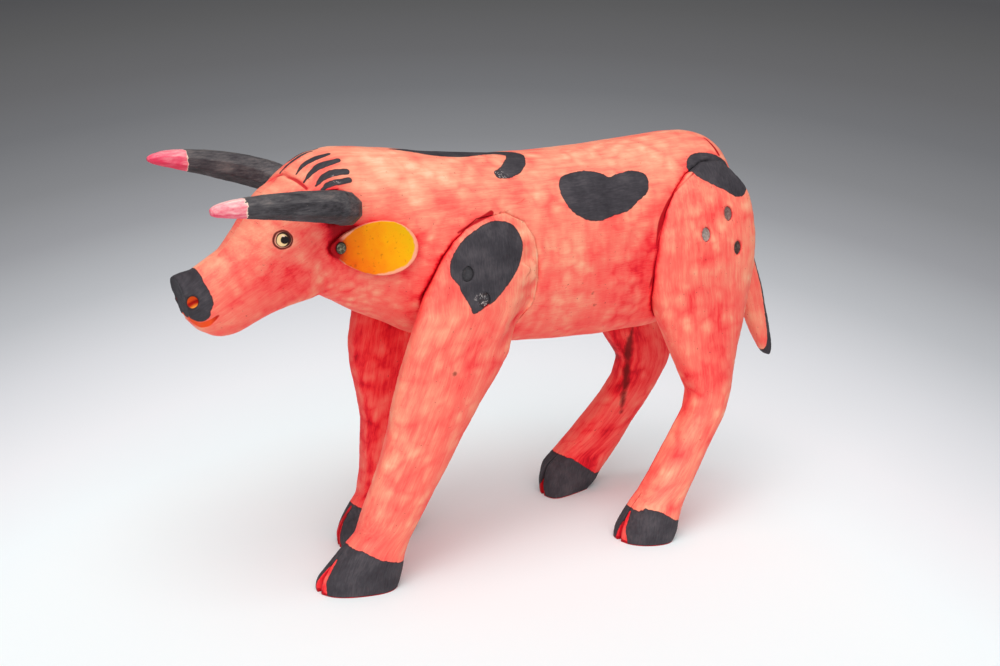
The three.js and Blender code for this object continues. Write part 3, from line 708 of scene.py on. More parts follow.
def dished_ear(name, material):
    """An ear's thin dish with the edge of its yellow wash and the crimson at its root."""
    root_x, root_z = -82.5, 142
    mesh = marked_copy(name, 70)
    split_long(mesh, 1.4)
    put_points(mesh, sanded(mesh, np.ones(len(mesh.vertices)), 6))
    split_long(mesh, 0.8)
    put_points(mesh, sanded(mesh, np.ones(len(mesh.vertices)), 3))
    nail = name + "_nail"
    put_points(mesh, narrowed(points_of(mesh), nail_lines[nail], head_width(nail)))
    points, normals = points_of(mesh), normals_of(mesh)
    outward = np.sign(points[:, 1].mean()) * normals[:, 1]
    yellow = outline_depth(points[:, [0, 2]], ear_outline)
    attribute(mesh, "yellow", np.minimum(yellow, (outward - 0.1) * 6))
    # The root's crimson is partly painted shade under the horn, and the wash is painted deeper on
    # the face turned to the head, as painted shade.
    attribute(mesh, "root", points[:, 0] - root_x + 0.2 * np.abs(points[:, 2] - root_z))
    attribute(mesh, "wash", 0.34 + 0.26 * ease(-outward, 0, 0.6))
    attribute(mesh, "brush", points)
    stands_for(mesh, name, material)


def whittled_horn(name, tip_start, material):
    """A horn with its knife facets kept and their arrises slightly worn."""
    mesh = marked_copy(name, 24)
    split_long(mesh, 1.6)
    put_points(mesh, sanded(mesh, np.ones(len(mesh.vertices)), 4))
    split_long(mesh, 0.9)
    put_points(mesh, sanded(mesh, np.ones(len(mesh.vertices)), 2, keep_arris=False))
    points, normals = points_of(mesh), normals_of(mesh)
    cuts = 0.13 * lumps(points, 4, 5) + 0.06 * lumps(points, 1.8, 6)
    put_points(mesh, points + normals * cuts[:, None])
    points, normals = points_of(mesh), normals_of(mesh)
    attribute(mesh, "tip", tip_start - points[:, 0])
    # How far each point faces up, for painted light on the horn's paint and pink.
    attribute(mesh, "up", normals[:, 2])
    attribute(mesh, "brush", points)
    stands_for(mesh, name, material, smooth_degrees=28)


def turned(profile, steps=40):
    """A closed form turned round the z axis from (radius, height) rows that start and end on it."""
    form = bmesh.new()
    ways = [(math.cos(math.tau * step / steps), math.sin(math.tau * step / steps))
            for step in range(steps)]
    rings = [[form.verts.new((radius * MM * x, radius * MM * y, height * MM)) for x, y in ways]
             for radius, height in profile[1:-1]]
    ends = [form.verts.new((0, 0, profile[place][1] * MM)) for place in (0, -1)]
    for step in range(steps):
        for below, above in zip(rings, rings[1:]):
            form.faces.new((below[step - 1], below[step], above[step], above[step - 1]))
        form.faces.new((ends[0], rings[0][step], rings[0][step - 1]))
        form.faces.new((ends[1], rings[-1][step - 1], rings[-1][step]))
    form.normal_update()
    return form


def driven_nail(name, seed, material):
    """A wire nail turned from its profile, with a dented flat head, where the CAD nail is."""
    line = nail_lines[name]
    head, shank, low, under, top = (line[key] for key in ("head", "shank", "low", "under", "top"))
    profile = [(0, low), (0.15 * shank, low), (shank, low + 1.6), (shank, under - 0.2),
               (1.25 * shank, under), (0.94 * head, under + 0.02), (head, under + 0.2),
               (head, top - 0.22), (0.97 * head, top - 0.08), (0.9 * head, top),
               (0.7 * head, top - 0.05), (0.45 * head, top - 0.11), (0.2 * head, top - 0.13),
               (0, top - 0.13)]
    form = turned(profile)
    for point in form.verts:
        reach = point.co.xy.length / (head * MM)
        if point.co.z > (under + 0.1) * MM and reach < 0.93:
            dent = noise.noise(point.co / (1.5 * MM) + Vector((seed * 7.1, seed * 3.3, 0)))
            point.co.z -= 0.07 * MM * abs(dent)
    upright = Vector((0, 0, 1))
    axis = Vector(line["axis"])
    across = axis.cross(upright).normalized()
    turn = Matrix((across, axis.cross(across), axis)).transposed().to_4x4()
    slim = Matrix.Diagonal((head_width(name), 1, 1, 1))
    bmesh.ops.transform(form, matrix=Matrix.Translation(Vector(line["middle"]) * MM) @ turn @ slim,
                        verts=form.verts)
    mesh = bpy.data.meshes.new("driven_" + name)
    form.to_mesh(mesh)
    form.free()
    points = points_of(mesh)
    away = points - line["middle"]
    height = away @ line["axis"]
    flat = away - np.outer(height, line["axis"])
    sideways = flat @ np.array(across)
    flat += np.outer(sideways * (1 / head_width(name) - 1), across)
    rim = np.linalg.norm(flat, axis=1) / head * (height > under - 0.1)
    attribute(mesh, "rim", rim)
    stands_for(mesh, name, material, smooth_degrees=40)


# Materials

smooth_rise = {"interpolation_type": "SMOOTHSTEP"}


def node(tree, kind, inputs=(), stops=(), **settings):
    """Adds a node, sets it up and links it. Its inputs, in order or by name, are nodes or sockets
    to link from, hex colours or plain values. Stops are the places and colours of a ramp."""
    added = tree.nodes.new("ShaderNode" + kind)
    for key, value in settings.items():
        setattr(added, key, value)
    for key, value in inputs.items() if isinstance(inputs, dict) else enumerate(inputs):
        if isinstance(value, bpy.types.Node):
            value = value.outputs[0]
        if isinstance(value, bpy.types.NodeSocket):
            tree.links.new(value, added.inputs[key])
        else:
            added.inputs[key].default_value = colour(value) if isinstance(value, str) else value
    if stops:
        added.color_ramp.elements.remove(added.color_ramp.elements[-1])
    for number, (place, code) in enumerate(stops):
        stop = added.color_ramp.elements[0] if number == 0 else added.color_ramp.elements.new(place)
        stop.position, stop.color = place, colour(code)
    return added


def laid_over(tree, base, paint, depth, low, high, most=1.0, least=0.0, blend="SMOOTHSTEP"):
    """Lays paint over a base, with a share that goes from least to most as a depth rises from low
    to high."""
    share = node(tree, "MapRange", [depth, low, high, least, most], interpolation_type=blend)
    return node(tree, "Mix", {0: share, 6: base, 7: paint}, data_type="RGBA").outputs[2]


def drawn_out_noise(tree, place, per_mm, detail, roughness=0.5):
    """Noise drawn out along a piece; per_mm is how fast it changes along, across and outwards."""
    drawn = node(tree, "Mapping", {"Vector": place, "Scale": per_mm})
    return node(tree, "TexNoise", {"Vector": drawn, "Scale": 1.0, "Detail": detail,
                                   "Roughness": roughness})


def finished(tree, base, relief, depth, finish):
    """Ends a material with its colour, its relief in shares of 0.2 mm and its other finish."""
    bump = node(tree, "Bump", {"Height": relief, "Strength": depth, "Distance": 0.2 * MM})
    shader = node(tree, "BsdfPrincipled", {"Base Color": base, "Normal": bump, **finish})
    node(tree, "OutputMaterial", {"Surface": shader})


def new_material(name):
    """An empty material and its node tree."""
    material = bpy.data.materials.new(name)
    material.use_nodes = True
    material.node_tree.nodes.clear()
    return material, material.node_tree


# Alder, whittled and rubbed with a thin red water stain: the wood's pale peach shows through in
# watery cells, the red deepens in hollows and seams, partly pooled stain and partly painted shade,
# it is painted paler on upward faces and deeper on downward and inward ones as painted light and
# shade, and it stays matt with a slight tooth.
stain_on_alder = [
    (0.0, "#FFC6A4"), (0.14, "#FFB08E"), (0.3, "#FF967A"), (0.46, "#FF7866"), (0.62, "#FF5C54"),
    (0.76, "#FA363A"), (0.88, "#E61228"), (1.0, "#B80416"),
]


def watery_stain(tree):
    """The stain's colour, its relief and its brush coordinates."""
    brush = node(tree, "Attribute", attribute_name="brush").outputs["Vector"]
    # Pools 20 mm wide, cells 6 mm wide, streaks 1.5 to 4 mm wide, and fibres 0.5 mm wide.
    drift = node(tree, "TexNoise", {"Vector": brush, "Scale": 0.11, "Detail": 2.0})
    shift = node(tree, "VectorMath", {0: drift.outputs["Color"], "Scale": 8.0}, operation="SCALE")
    swept = node(tree, "VectorMath", [brush, shift], operation="ADD")
    pools = node(tree, "TexNoise", {"Vector": swept, "Scale": 0.05, "Detail": 4.0,
                                    "Roughness": 0.55})
    wide = node(tree, "TexNoise", {"Vector": brush, "Scale": 0.02, "Detail": 1.0})
    tall = node(tree, "Mapping", {"Vector": swept, "Scale": (0.15, 0.16, 0.14)})
    cells = node(tree, "TexVoronoi", {"Vector": tall, "Scale": 1.0, "Smoothness": 0.7},
                 feature="SMOOTH_F1")
    patchy = node(tree, "TexNoise", {"Vector": swept, "Scale": 0.07, "Detail": 1.0})
    patchy = node(tree, "MapRange", [patchy, 0.38, 0.62, 0.18, 0.55], **smooth_rise)
    # Each cell dries with a faint darker border, 0.6 mm wide.
    borders = node(tree, "TexVoronoi", {"Vector": tall, "Scale": 1.0}, feature="DISTANCE_TO_EDGE")
    borders = node(tree, "MapRange", [borders, 0.0, 0.12, 0.06, 0.0], **smooth_rise)
    lengthwise = drawn_out_noise(tree, brush, (0.05, 0.62, 0.3), 3.0)
    downward = drawn_out_noise(tree, brush, (0.26, 0.05, 0.3), 3.0)
    way_down = node(tree, "SeparateXYZ", [brush]).outputs[1]
    on_side = node(tree, "MapRange", [way_down, 24.0, 44.0, 0.0, 1.0], **smooth_rise)
    streaks = node(tree, "Mix", {0: on_side, 2: lengthwise, 3: downward})
    grain = drawn_out_noise(tree, brush, (0.2, 2.0, 1.4), 4.0, 0.72)
    depth = node(tree, "Attribute", attribute_name="wash").outputs["Fac"]
    cells = node(tree, "Math", [cells, -0.46], operation="ADD")
    cells = node(tree, "Math", [cells, borders], operation="ADD")
    cells = node(tree, "Math", [cells, patchy], operation="MULTIPLY")
    depth = node(tree, "Math", [depth, cells], operation="ADD")
    for part, strength in ((pools, 0.34), (wide, 0.3), (streaks, 0.36), (grain, 0.4)):
        part = node(tree, "Math", [part, strength, -0.5 * strength], operation="MULTIPLY_ADD")
        depth = node(tree, "Math", [depth, part], operation="ADD")
    stained = node(tree, "ValToRGB", [depth], stain_on_alder)
    # Rare dark pores, 0.7 mm wide.
    pores = node(tree, "TexNoise", {"Vector": brush, "Scale": 0.8, "Detail": 1.0})
    stained = laid_over(tree, stained, "#9A2418", pores, 0.73, 0.8, 0.5, blend="LINEAR")
    relief = node(tree, "Math", [streaks, grain], operation="ADD")
    return stained, relief, brush


def soot_paint(tree, brush):
    """Lamp-black tempera, brushed on: matt charcoal with faint lighter brush marks and clouds."""
    clouds = drawn_out_noise(tree, brush, (0.12, 0.1, 0.1), 3.0, 0.6)
    lines = drawn_out_noise(tree, brush, (0.3, 1.6, 0.8), 3.0, 0.6)
    tone = node(tree, "Mix", {0: 0.4, 2: clouds, 3: lines})
    paint = node(tree, "ValToRGB", [tone], [(0.3, "#322E33"), (0.5, "#423E43"), (0.7, "#585256")])
    # Grey-white marks, partly chips where a nail or the brush disturbed the paint and partly
    # painted glints, one a painted highlight on glue.
    chips_and_glints = node(tree, "TexNoise", {"Vector": brush, "Scale": 0.9, "Detail": 3.0, "Roughness": 0.7})
    chips_and_glints = node(tree, "MapRange", [chips_and_glints, 0.56, 0.62, 0.0, 0.75])
    near = node(tree, "Attribute", attribute_name="chip_and_glint").outputs["Fac"]
    near = node(tree, "MapRange", [near, -0.4, 1.2, 0.0, 1.0], **smooth_rise)
    chips_and_glints = node(tree, "Math", [chips_and_glints, near], operation="MULTIPLY")
    return node(tree, "Mix", {0: chips_and_glints, 6: paint, 7: "#C9BDBA"}, data_type="RGBA").outputs[2]


def painted_over(tree, stained, relief, brush):
    """Lays the black over the stain, with a deeper edge where its brush stroke ends."""
    depth = node(tree, "Attribute", attribute_name="paint").outputs["Fac"]
    wobble = node(tree, "TexNoise", {"Vector": brush, "Scale": 0.55, "Detail": 2.0})
    wobble = node(tree, "Math", [wobble, 0.9, -0.45], operation="MULTIPLY_ADD")
    depth = node(tree, "Math", [depth, wobble], operation="ADD")
    covered = node(tree, "MapRange", [depth, -0.14, 0.14, 0.0, 1.0], **smooth_rise)
    paint = laid_over(tree, soot_paint(tree, brush), "#43181C", depth, 0.05, 0.5, 0.0, 0.65)
    base = node(tree, "Mix", {0: covered, 6: stained, 7: paint}, data_type="RGBA")
    thick = node(tree, "Math", [covered, 0.5, relief], operation="MULTIPLY_ADD")
    return base.outputs[2], thick, covered


def water_stained_alder(name, marks=()):
    """The red wood of the block, legs and tail; marks names what else is painted on the piece."""
    material, tree = new_material(name)
    base, relief, brush = watery_stain(tree)
    if "streak" in marks:
        # A dark brown streak down the inside of the far hind leg.
        streak = node(tree, "Attribute", attribute_name="streak").outputs["Fac"]
        ragged = node(tree, "TexNoise", {"Vector": brush, "Scale": 0.3, "Detail": 3.0})
        streak = node(tree, "Math", [ragged, 2.4, streak], operation="MULTIPLY_ADD")
        base = laid_over(tree, base, "#6A1210", streak, 0.6, 2.0, 0.85, blend="LINEAR")
    spot = node(tree, "Attribute", attribute_name="mark").outputs["Fac"]
    base = laid_over(tree, base, "#743420", spot, -0.2, 0.5, 0.7, blend="LINEAR")
    # Painted shade along the open seams, partly red soaked into them.
    seam_shade = node(tree, "Attribute", attribute_name="stain").outputs["Fac"]
    base = laid_over(tree, base, "#B80816", seam_shade, -0.5, 0.15)
    if "head" in marks:
        # Deep red in the carved brow cut, partly pooled stain and partly painted shade.
        cut = node(tree, "Attribute", attribute_name="cut").outputs["Fac"]
        base = laid_over(tree, base, "#C20E1E", cut, -0.2, 0.15, 0.9)
    base, relief, covered = painted_over(tree, base, relief, brush)
    if "head" in marks:
        base = head_paint(tree, base)
    rough = node(tree, "Math", [covered, 0.1, 0.6], operation="MULTIPLY_ADD")
    finished(tree, base, relief, 0.5, {"Roughness": rough, "Specular IOR Level": 0.18})
    return material


def head_paint(tree, base):
    """Mouth, nostrils and eyes in tempera, alike on both sides of the head."""
    place = node(tree, "TexCoord").outputs["Object"]
    place = node(tree, "VectorMath", {0: place, "Scale": 1 / MM}, operation="SCALE")
    across = node(tree, "SeparateXYZ", [place])
    aside = node(tree, "Math", [across.outputs[1]], operation="ABSOLUTE")
    place = node(tree, "CombineXYZ", [across.outputs[0], aside, across.outputs[2]])

    mouth = node(tree, "Attribute", attribute_name="mouth").outputs["Fac"]
    # The lip darkens over the last 2 mm before the mouth's corner.
    lip = laid_over(tree, "#F8501A", "#C41A0C", across.outputs[0], -131.5, -129.5, blend="LINEAR")
    base = laid_over(tree, base, lip, mouth, -0.2, 0.25)

    off = node(tree, "VectorMath", [place, nostril_centre], operation="SUBTRACT")
    off_parts = node(tree, "SeparateXYZ", [off])
    stretched = node(tree, "Mapping", {"Vector": off, "Scale": (0.95, 1.0, 0.78)})
    oval = node(tree, "VectorMath", [stretched], operation="LENGTH").outputs["Value"]
    # Orange at the top, a dark red slant through the middle and yellow-orange below.
    slant = node(tree, "Math", [off_parts.outputs[0], 0.06, 0.5], operation="MULTIPLY_ADD")
    slant = node(tree, "Math", [off_parts.outputs[2], -0.15, slant], operation="MULTIPLY_ADD")
    tint = node(tree, "ValToRGB", [slant], [(0.1, "#F8641E"), (0.34, "#F04C18"), (0.46, "#A80A06"),
                                            (0.58, "#C01C08"), (0.72, "#FF9A34"), (0.9, "#FFA83E")])
    base = laid_over(tree, base, "#2A1214", oval, 2.3, 2.9, 0.0, 0.6)
    base = laid_over(tree, base, tint, oval, 2.0, 2.35, 0.0, 1.0)

    off = node(tree, "VectorMath", [place, eye_centre], operation="SUBTRACT")
    level = node(tree, "Mapping", {"Vector": off, "Rotation": (0, 0, -eye_turn)})
    level = node(tree, "SeparateXYZ", [level])
    flat = node(tree, "CombineXYZ", [level.outputs[0], level.outputs[2]])
    wobble = node(tree, "TexNoise", {"Vector": place, "Scale": 0.45, "Detail": 1.0})
    wobble = node(tree, "Math", [wobble, 0.16, -0.08], operation="MULTIPLY_ADD")
    face_on = node(tree, "Math", [level.outputs[1]], operation="ABSOLUTE")
    face_on = node(tree, "MapRange", [face_on, 4.0, 5.0, 1.0, 0.0])
    # Each layer is an oval: its middle, half-sizes, slant, edges as shares of its size, and colour.
    # The last layer is a painted highlight above the pupil.
    for middle, half, slant, solid, gone, code in (
            ((0, 0), (4.0, 3.85), 0, 0.94, 1.04, "#6E221C"),
            ((0.05, 0), (3.35, 3.25), 0, 0.9, 1.0, "#E69A80"),
            ((0.3, 0.1), (2.95, 3.05), 0.3, 0.93, 1.04, "#3A1A14"),
            ((-0.1, -0.15), (2.3, 2.55), 0, 0.88, 1.0, "#FBD49C"),
            ((0.8, -0.05), (1.7, 1.6), 0, 0.86, 1.02, "#20181A"),
            ((0.25, 1.45), (0.7, 0.3), 0.35, 0.6, 1.1, "#FFDCCB")):
        moved = node(tree, "VectorMath", [flat, (*middle, 0)], operation="SUBTRACT")
        moved = node(tree, "Mapping", {"Vector": moved, "Rotation": (0, 0, slant)})
        moved = node(tree, "Mapping", {"Vector": moved, "Scale": (1 / half[0], 1 / half[1], 1)})
        reach = node(tree, "VectorMath", [moved], operation="LENGTH").outputs["Value"]
        reach = node(tree, "Math", [reach, wobble], operation="ADD")
        inside = node(tree, "MapRange", [reach, solid, gone, 1.0, 0.0], **smooth_rise)
        inside = node(tree, "Math", [inside, face_on], operation="MULTIPLY")
        base = node(tree, "Mix", {0: inside, 6: base, 7: code}, data_type="RGBA").outputs[2]
    return base


def yellow_washed_alder():
    """Thin-carved alder with a turmeric-yellow water stain in the dish: it runs from orange to
    yellow, with pale pink wood showing along the rim and crimson at the root, partly soaked-in
    stain and partly painted shade under the horn."""
    material, tree = new_material("yellow_washed_alder")
    stained, relief, brush = watery_stain(tree)
    parts = node(tree, "SeparateXYZ", [brush])
    blotch = node(tree, "TexNoise", {"Vector": brush, "Scale": 0.2, "Detail": 3.0,
                                     "Roughness": 0.6})
    reach = node(tree, "Math", [parts.outputs[0], 0.034, 2.86], operation="MULTIPLY_ADD")
    height = node(tree, "Math", [parts.outputs[2], 0.016, -2.25], operation="MULTIPLY_ADD")
    blotch = node(tree, "Math", [blotch, 0.5, -0.25], operation="MULTIPLY_ADD")
    for part in (height, blotch):
        reach = node(tree, "Math", [reach, part], operation="ADD")
    yellow = node(tree, "ValToRGB", [reach], [(0.0, "#F4540C"), (0.2, "#FB7206"), (0.45, "#FD8C02"),
                                              (0.75, "#FFA800"), (1.0, "#F2B400")])
    freckles = node(tree, "TexNoise", {"Vector": brush, "Scale": 0.7, "Detail": 2.0})
    yellow = laid_over(tree, yellow, "#B4500A", freckles, 0.62, 0.72, 0.45, blend="LINEAR")
    edge = node(tree, "Attribute", attribute_name="yellow").outputs["Fac"]
    wobble = node(tree, "TexNoise", {"Vector": brush, "Scale": 0.5, "Detail": 2.0})
    wobble = node(tree, "Math", [wobble, 1.0, -0.5], operation="MULTIPLY_ADD")
    edge = node(tree, "Math", [edge, wobble], operation="ADD")
    base = laid_over(tree, stained, "#FFA886", edge, -1.6, -0.3)
    base = laid_over(tree, base, yellow, edge, -0.3, 0.3)
    # Crimson at the root, partly soaked-in stain and partly painted shade under the horn.
    root = node(tree, "Attribute", attribute_name="root").outputs["Fac"]
    root = node(tree, "Math", [wobble, 3.0, root], operation="MULTIPLY_ADD")
    base = laid_over(tree, base, "#B20A16", root, -0.5, 3.5, 0.0, 1.0)
    finished(tree, base, relief, 0.4, {"Roughness": 0.55, "Specular IOR Level": 0.12})
    return material


def blackened_horn_wood():
    """Knife-cut wood under scuffed lamp-black tempera, its tips bare and rubbed with pink stain:
    the upper facets are painted lighter, dusty grey, and the lower ones near black, as painted
    light and shade; the pink is painted paler on upper faces and deeper on lower ones."""
    material, tree = new_material("blackened_horn_wood")
    brush = node(tree, "Attribute", attribute_name="brush").outputs["Vector"]
    up = node(tree, "Attribute", attribute_name="up").outputs["Fac"]
    clouds = drawn_out_noise(tree, brush, (0.08, 0.2, 0.25), 4.0, 0.65)
    lines = drawn_out_noise(tree, brush, (0.3, 1.2, 1.6), 3.0, 0.6)
    tone = node(tree, "Mix", {0: 0.35, 2: clouds, 3: lines})
    # Painted light: upper facets lighter grey.
    tone = node(tree, "Math", [up, 0.09, tone], operation="MULTIPLY_ADD")
    paint = node(tree, "ValToRGB", [tone], [(0.36, "#2A2629"), (0.46, "#3F3B3F"), (0.56, "#545052"),
                                            (0.66, "#6C6463"), (0.76, "#85786F")])
    scratches = drawn_out_noise(tree, brush, (0.35, 2.6, 2.8), 4.0, 0.75)
    paint = laid_over(tree, paint, "#9C8F88", scratches, 0.64, 0.7, 0.55, blend="LINEAR")
    pooled = drawn_out_noise(tree, brush, (0.22, 0.9, 0.9), 3.0, 0.6)
    tip = node(tree, "Attribute", attribute_name="tip").outputs["Fac"]
    # Painted light and shade on the pink: paler on upper faces, deeper on lower ones.
    shade = node(tree, "Math", [up, -0.3, 0.38], operation="MULTIPLY_ADD")
    shade = node(tree, "Math", [tip, 0.016, shade], operation="MULTIPLY_ADD")
    # The right horn's tip is a deeper pink.
    strong = node(tree, "SeparateXYZ", [brush]).outputs[1]
    strong = node(tree, "MapRange", [strong, 0.0, 1.0, 0.0, 0.3])
    shade = node(tree, "Math", [shade, strong], operation="ADD")
    pooled = node(tree, "Math", [pooled, 1.3, -0.65], operation="MULTIPLY_ADD")
    shade = node(tree, "Math", [shade, pooled], operation="ADD")
    pink = node(tree, "ValToRGB", [shade], [(0.0, "#FFD9D0"), (0.25, "#FBB4B6"), (0.5, "#F98C96"),
                                            (0.75, "#F4607A"), (1.0, "#E8365A")])
    wobble = node(tree, "TexNoise", {"Vector": brush, "Scale": 0.6, "Detail": 2.0})
    edge = node(tree, "Math", [wobble, 2.2, -1.1], operation="MULTIPLY_ADD")
    edge = node(tree, "Math", [edge, tip], operation="ADD")
    pink = laid_over(tree, "#FFE0C8", pink, edge, 0.05, 0.4)
    base = laid_over(tree, paint, pink, edge, -0.15, 0.15)
    finished(tree, base, lines, 0.4, {"Roughness": 0.6, "Specular IOR Level": 0.35})
    return material


def wire_nail_steel(name, stops, rim_stain_and_glint, rough, metal):
    """Drawn mild-steel wire nails with hammered heads, dulled by age: pitted grey, with stain or
    paint caught round the edge; the dark finish has a painted glint round its rim instead, and the
    chipped finish painted glints among its chips."""
    material, tree = new_material(name)
    place = node(tree, "TexCoord").outputs["Object"]
    # Hammer pits about 1 mm wide.
    pits = node(tree, "TexNoise", {"Vector": place, "Scale": 0.9 / MM, "Detail": 4.0,
                                   "Roughness": 0.65})
    face = node(tree, "ValToRGB", [pits], stops)
    rim = node(tree, "Attribute", attribute_name="rim").outputs["Fac"]
    rim = node(tree, "Math", [pits, 0.25, rim], operation="MULTIPLY_ADD")
    base = laid_over(tree, face, rim_stain_and_glint, rim, 0.98, 1.1)
    finished(tree, base, pits, 0.5, {"Metallic": metal, "Roughness": rough})
    return material


def beech_dowel():
    """Turned beech dowel, unfinished: pale tan with fine lengthwise grain."""
    material, tree = new_material("beech_dowel")
    place = node(tree, "TexCoord").outputs["Object"]
    # Grain lines about 0.7 mm apart.
    grain = drawn_out_noise(tree, place, (1.5 / MM, 0.15 / MM, 1.5 / MM), 4.0, 0.6)
    base = node(tree, "ValToRGB", [grain], [(0.3, "#B98A58"), (0.55, "#D6AC78"), (0.75, "#E6C496")])
    finished(tree, base, grain, 0.3, {"Roughness": 0.7})
    return material


# The bull's pieces

nail_lines = {name: nail_line(name) for name in sorted(nodes) if "_nail" in name}

red_alder = water_stained_alder("water_stained_alder")
head_alder = water_stained_alder("water_stained_alder_head", ("head",))
streaked_alder = water_stained_alder("water_stained_alder_streaked", ("streak",))

carved("body", arris_degrees=60, rounds=40, coarse=3.0, fine=2.0, relief=0.22,
       material=head_alder)
for leg_name in ("front_left_leg", "front_right_leg", "hind_left_leg", "hind_right_leg"):
    wood = streaked_alder if leg_name == "hind_right_leg" else red_alder
    carved(leg_name, arris_degrees=62, rounds=14, coarse=2.4, fine=1.6, relief=0.22, material=wood)
carved("tail", arris_degrees=62, rounds=8, coarse=2.0, fine=1.5, relief=0.2, material=red_alder)

yellow_alder = yellow_washed_alder()
horn_black = blackened_horn_wood()
for ear_name in ("left_ear", "right_ear"):
    dished_ear(ear_name, yellow_alder)
for horn_name, tip_start in (("left_horn", -128), ("right_horn", -122)):
    whittled_horn(horn_name, tip_start, horn_black)

# Each steel: its face from dark to light, its rim, its roughness and how metallic it looks.
steel_looks = {
    "wire_nail_steel": ([(0.35, "#8E847C"), (0.5, "#ABA199"), (0.65, "#C4BAB2")],
                        "#7A5A50", 0.5, 0.25),
    "wire_nail_steel_stained": ([(0.35, "#6A5450"), (0.5, "#86706A"), (0.65, "#A08C84")],
                                "#5E302E", 0.55, 0.2),
    # The dark nail's pale rim is a painted glint.
    "wire_nail_steel_dark_glint_rim": ([(0.35, "#3C3432"), (0.5, "#4E4642"), (0.65, "#7C726A")],
                             "#A89488", 0.5, 0.3),
    "wire_nail_steel_painted": ([(0.35, "#39363A"), (0.55, "#454246"), (0.75, "#565256")],
                                "#2A272A", 0.65, 0.1),
    # The chipped nail's palest stop is painted glints, partly bare steel at chips.
    "wire_nail_steel_chipped_glints": ([(0.36, "#4A2E2E"), (0.44, "#464347"), (0.56, "#565357"),
                                 (0.62, "#D0C4C0")], "#302C2E", 0.55, 0.15),
    "wire_nail_steel_olive": ([(0.35, "#3E382C"), (0.52, "#5A5240"), (0.64, "#A69C82")],
                              "#3A1A14", 0.5, 0.3),
}
steels = {name: wire_nail_steel(name, *look) for name, look in steel_looks.items()}
nail_finishes = {
    "leg_nail_upper": ("painted_nail", "wire_nail_steel_painted"),
    "leg_nail_lower": ("nail_steel", "wire_nail_steel_chipped_glints"),
    "leg_nail_front": ("nail_steel", "wire_nail_steel"),
    "leg_nail_top": ("nail_steel", "wire_nail_steel_stained"),
    "leg_nail_rear": ("nail_steel", "wire_nail_steel_dark_glint_rim"),
    "ear_nail": ("nail_steel", "wire_nail_steel_olive"),
    "tail_nail": ("nail_steel", "wire_nail_steel_stained"),
}
# The dents of each nail differ by its seed.
first_seed = 3
for number, nail_name in enumerate(nail_lines):
    nail_slot, look = next(pair for part, pair in nail_finishes.items() if part in nail_name)
    driven_nail(nail_name, number + first_seed, steels[look])

dowel = beech_dowel()
for peg_name in ("left_horn_peg", "right_horn_peg"):
    peg = nodes[peg_name]
    peg.data.materials.clear()
    peg.data.materials.append(dowel)

# Floor, lights and camera


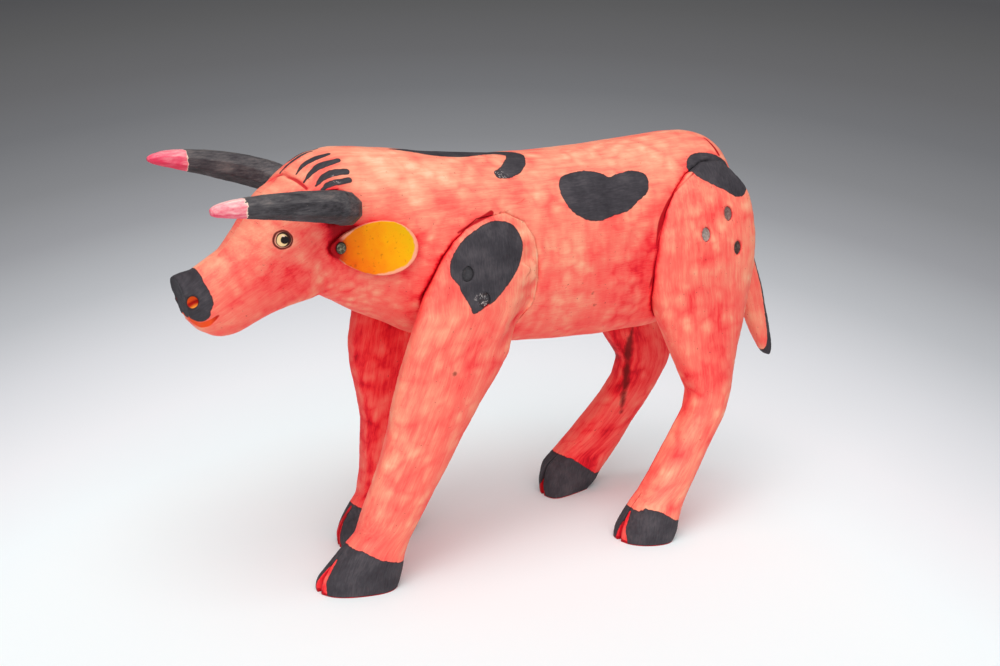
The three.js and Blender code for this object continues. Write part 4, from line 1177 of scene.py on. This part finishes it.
def studio_floor():
    """A wide matt paper sweep with a painted pool of light: white under the bull, falling off to
    painted grey shade behind and beside.
    """
    # In metres: the sweep's radius, and how far it lies below the soles.
    radius, drop = 9.0, 0.02 * MM
    # The bright ellipse lies 0.43 m in front of the bull, in line with the photograph's view, and
    # is 2.4 times as long as wide. The tone stops falling 3 m from its middle.
    middle, turn, slimness, fade_end = (0.0248, 0.4288, 0), math.radians(29), 2.4, 3.0
    form = bmesh.new()
    bmesh.ops.create_circle(form, cap_ends=True, segments=96, radius=radius)
    bmesh.ops.translate(form, verts=form.verts, vec=(0, 0, -drop))
    mesh = bpy.data.meshes.new("studio_floor")
    form.to_mesh(mesh)
    form.free()
    floor = bpy.data.objects.new("studio_floor", mesh)
    bpy.context.scene.collection.objects.link(floor)
    material, tree = new_material("paper_sweep_with_painted_light")
    place = node(tree, "TexCoord").outputs["Object"]
    turned = node(tree, "Mapping", {"Vector": place, "Location": middle, "Rotation": (0, 0, turn)})
    squeezed = node(tree, "Mapping", {"Vector": turned, "Scale": (slimness, 1, 0)})
    reach = node(tree, "VectorMath", [squeezed], operation="LENGTH").outputs["Value"]
    share = node(tree, "Math", [reach, fade_end], operation="DIVIDE")
    # The pool of light and the fall to grey shade are painted into the paper's colour.
    tone = node(tree, "ValToRGB", [share], [
        (0.18, "#EFF5F6"), (0.2, "#EDF4F6"), (0.233, "#E8E9EC"), (0.283, "#D2D3D7"),
        (0.333, "#B4B6BA"), (0.4, "#949599"), (0.467, "#808184"), (0.567, "#6D6E71"),
        (0.667, "#636365"), (0.833, "#585859"), (1.0, "#4E4E50")])
    shader = node(tree, "BsdfPrincipled", {"Base Color": tone, "Roughness": 1.0,
                                           "Specular IOR Level": 0.0})
    node(tree, "OutputMaterial", {"Surface": shader})
    mesh.materials.append(material)


def softbox(name, direction, strength, spread):
    """A broad distant light that shines along a direction; its spread is in degrees."""
    light = bpy.data.lights.new(name, "SUN")
    light.energy = strength
    light.angle = math.radians(spread)
    lamp = bpy.data.objects.new(name, light)
    lamp.rotation_euler = Vector(direction).to_track_quat("-Z", "Y").to_euler()
    bpy.context.scene.collection.objects.link(lamp)


def studio_world():
    """Even pale light from all round; the camera and reflections see a mid grey."""
    world = bpy.data.worlds.new("studio")
    bpy.context.scene.world = world
    world.use_nodes = True
    tree = world.node_tree
    tree.nodes.clear()
    rays = node(tree, "LightPath").outputs
    seen = node(tree, "Math", [rays["Is Camera Ray"], rays["Is Glossy Ray"]], operation="ADD")
    seen = node(tree, "Math", [seen, rays["Is Transmission Ray"]], operation="ADD", use_clamp=True)
    light = node(tree, "Background", {"Color": "#FFFFFF", "Strength": 0.44})
    backdrop = node(tree, "Background", {"Color": "#4C4D4F", "Strength": 1.0})
    blend = node(tree, "MixShader", [seen, light, backdrop])
    node(tree, "OutputWorld", {"Surface": blend})


def photo_camera():
    """The camera, placed and aimed as in the photograph."""
    data = bpy.data.cameras.new("photo_camera")
    data.lens = camera_lens
    data.sensor_width = camera_sensor
    data.clip_start, data.clip_end = 0.01, 50
    camera = bpy.data.objects.new("photo_camera", data)
    place, target = Vector(camera_place) * MM, Vector(camera_target) * MM
    camera.location = place
    camera.rotation_euler = (target - place).to_track_quat("-Z", "Y").to_euler()
    bpy.context.scene.collection.objects.link(camera)
    bpy.context.scene.camera = camera


studio_floor()
softbox("overhead_softbox", (0.15, 0.28, -1.0), strength=1.35, spread=50)
softbox("front_softbox", (0.5, 0.85, -0.75), strength=1.25, spread=60)
studio_world()
photo_camera()
bpy.context.scene.view_settings.view_transform = "Standard"
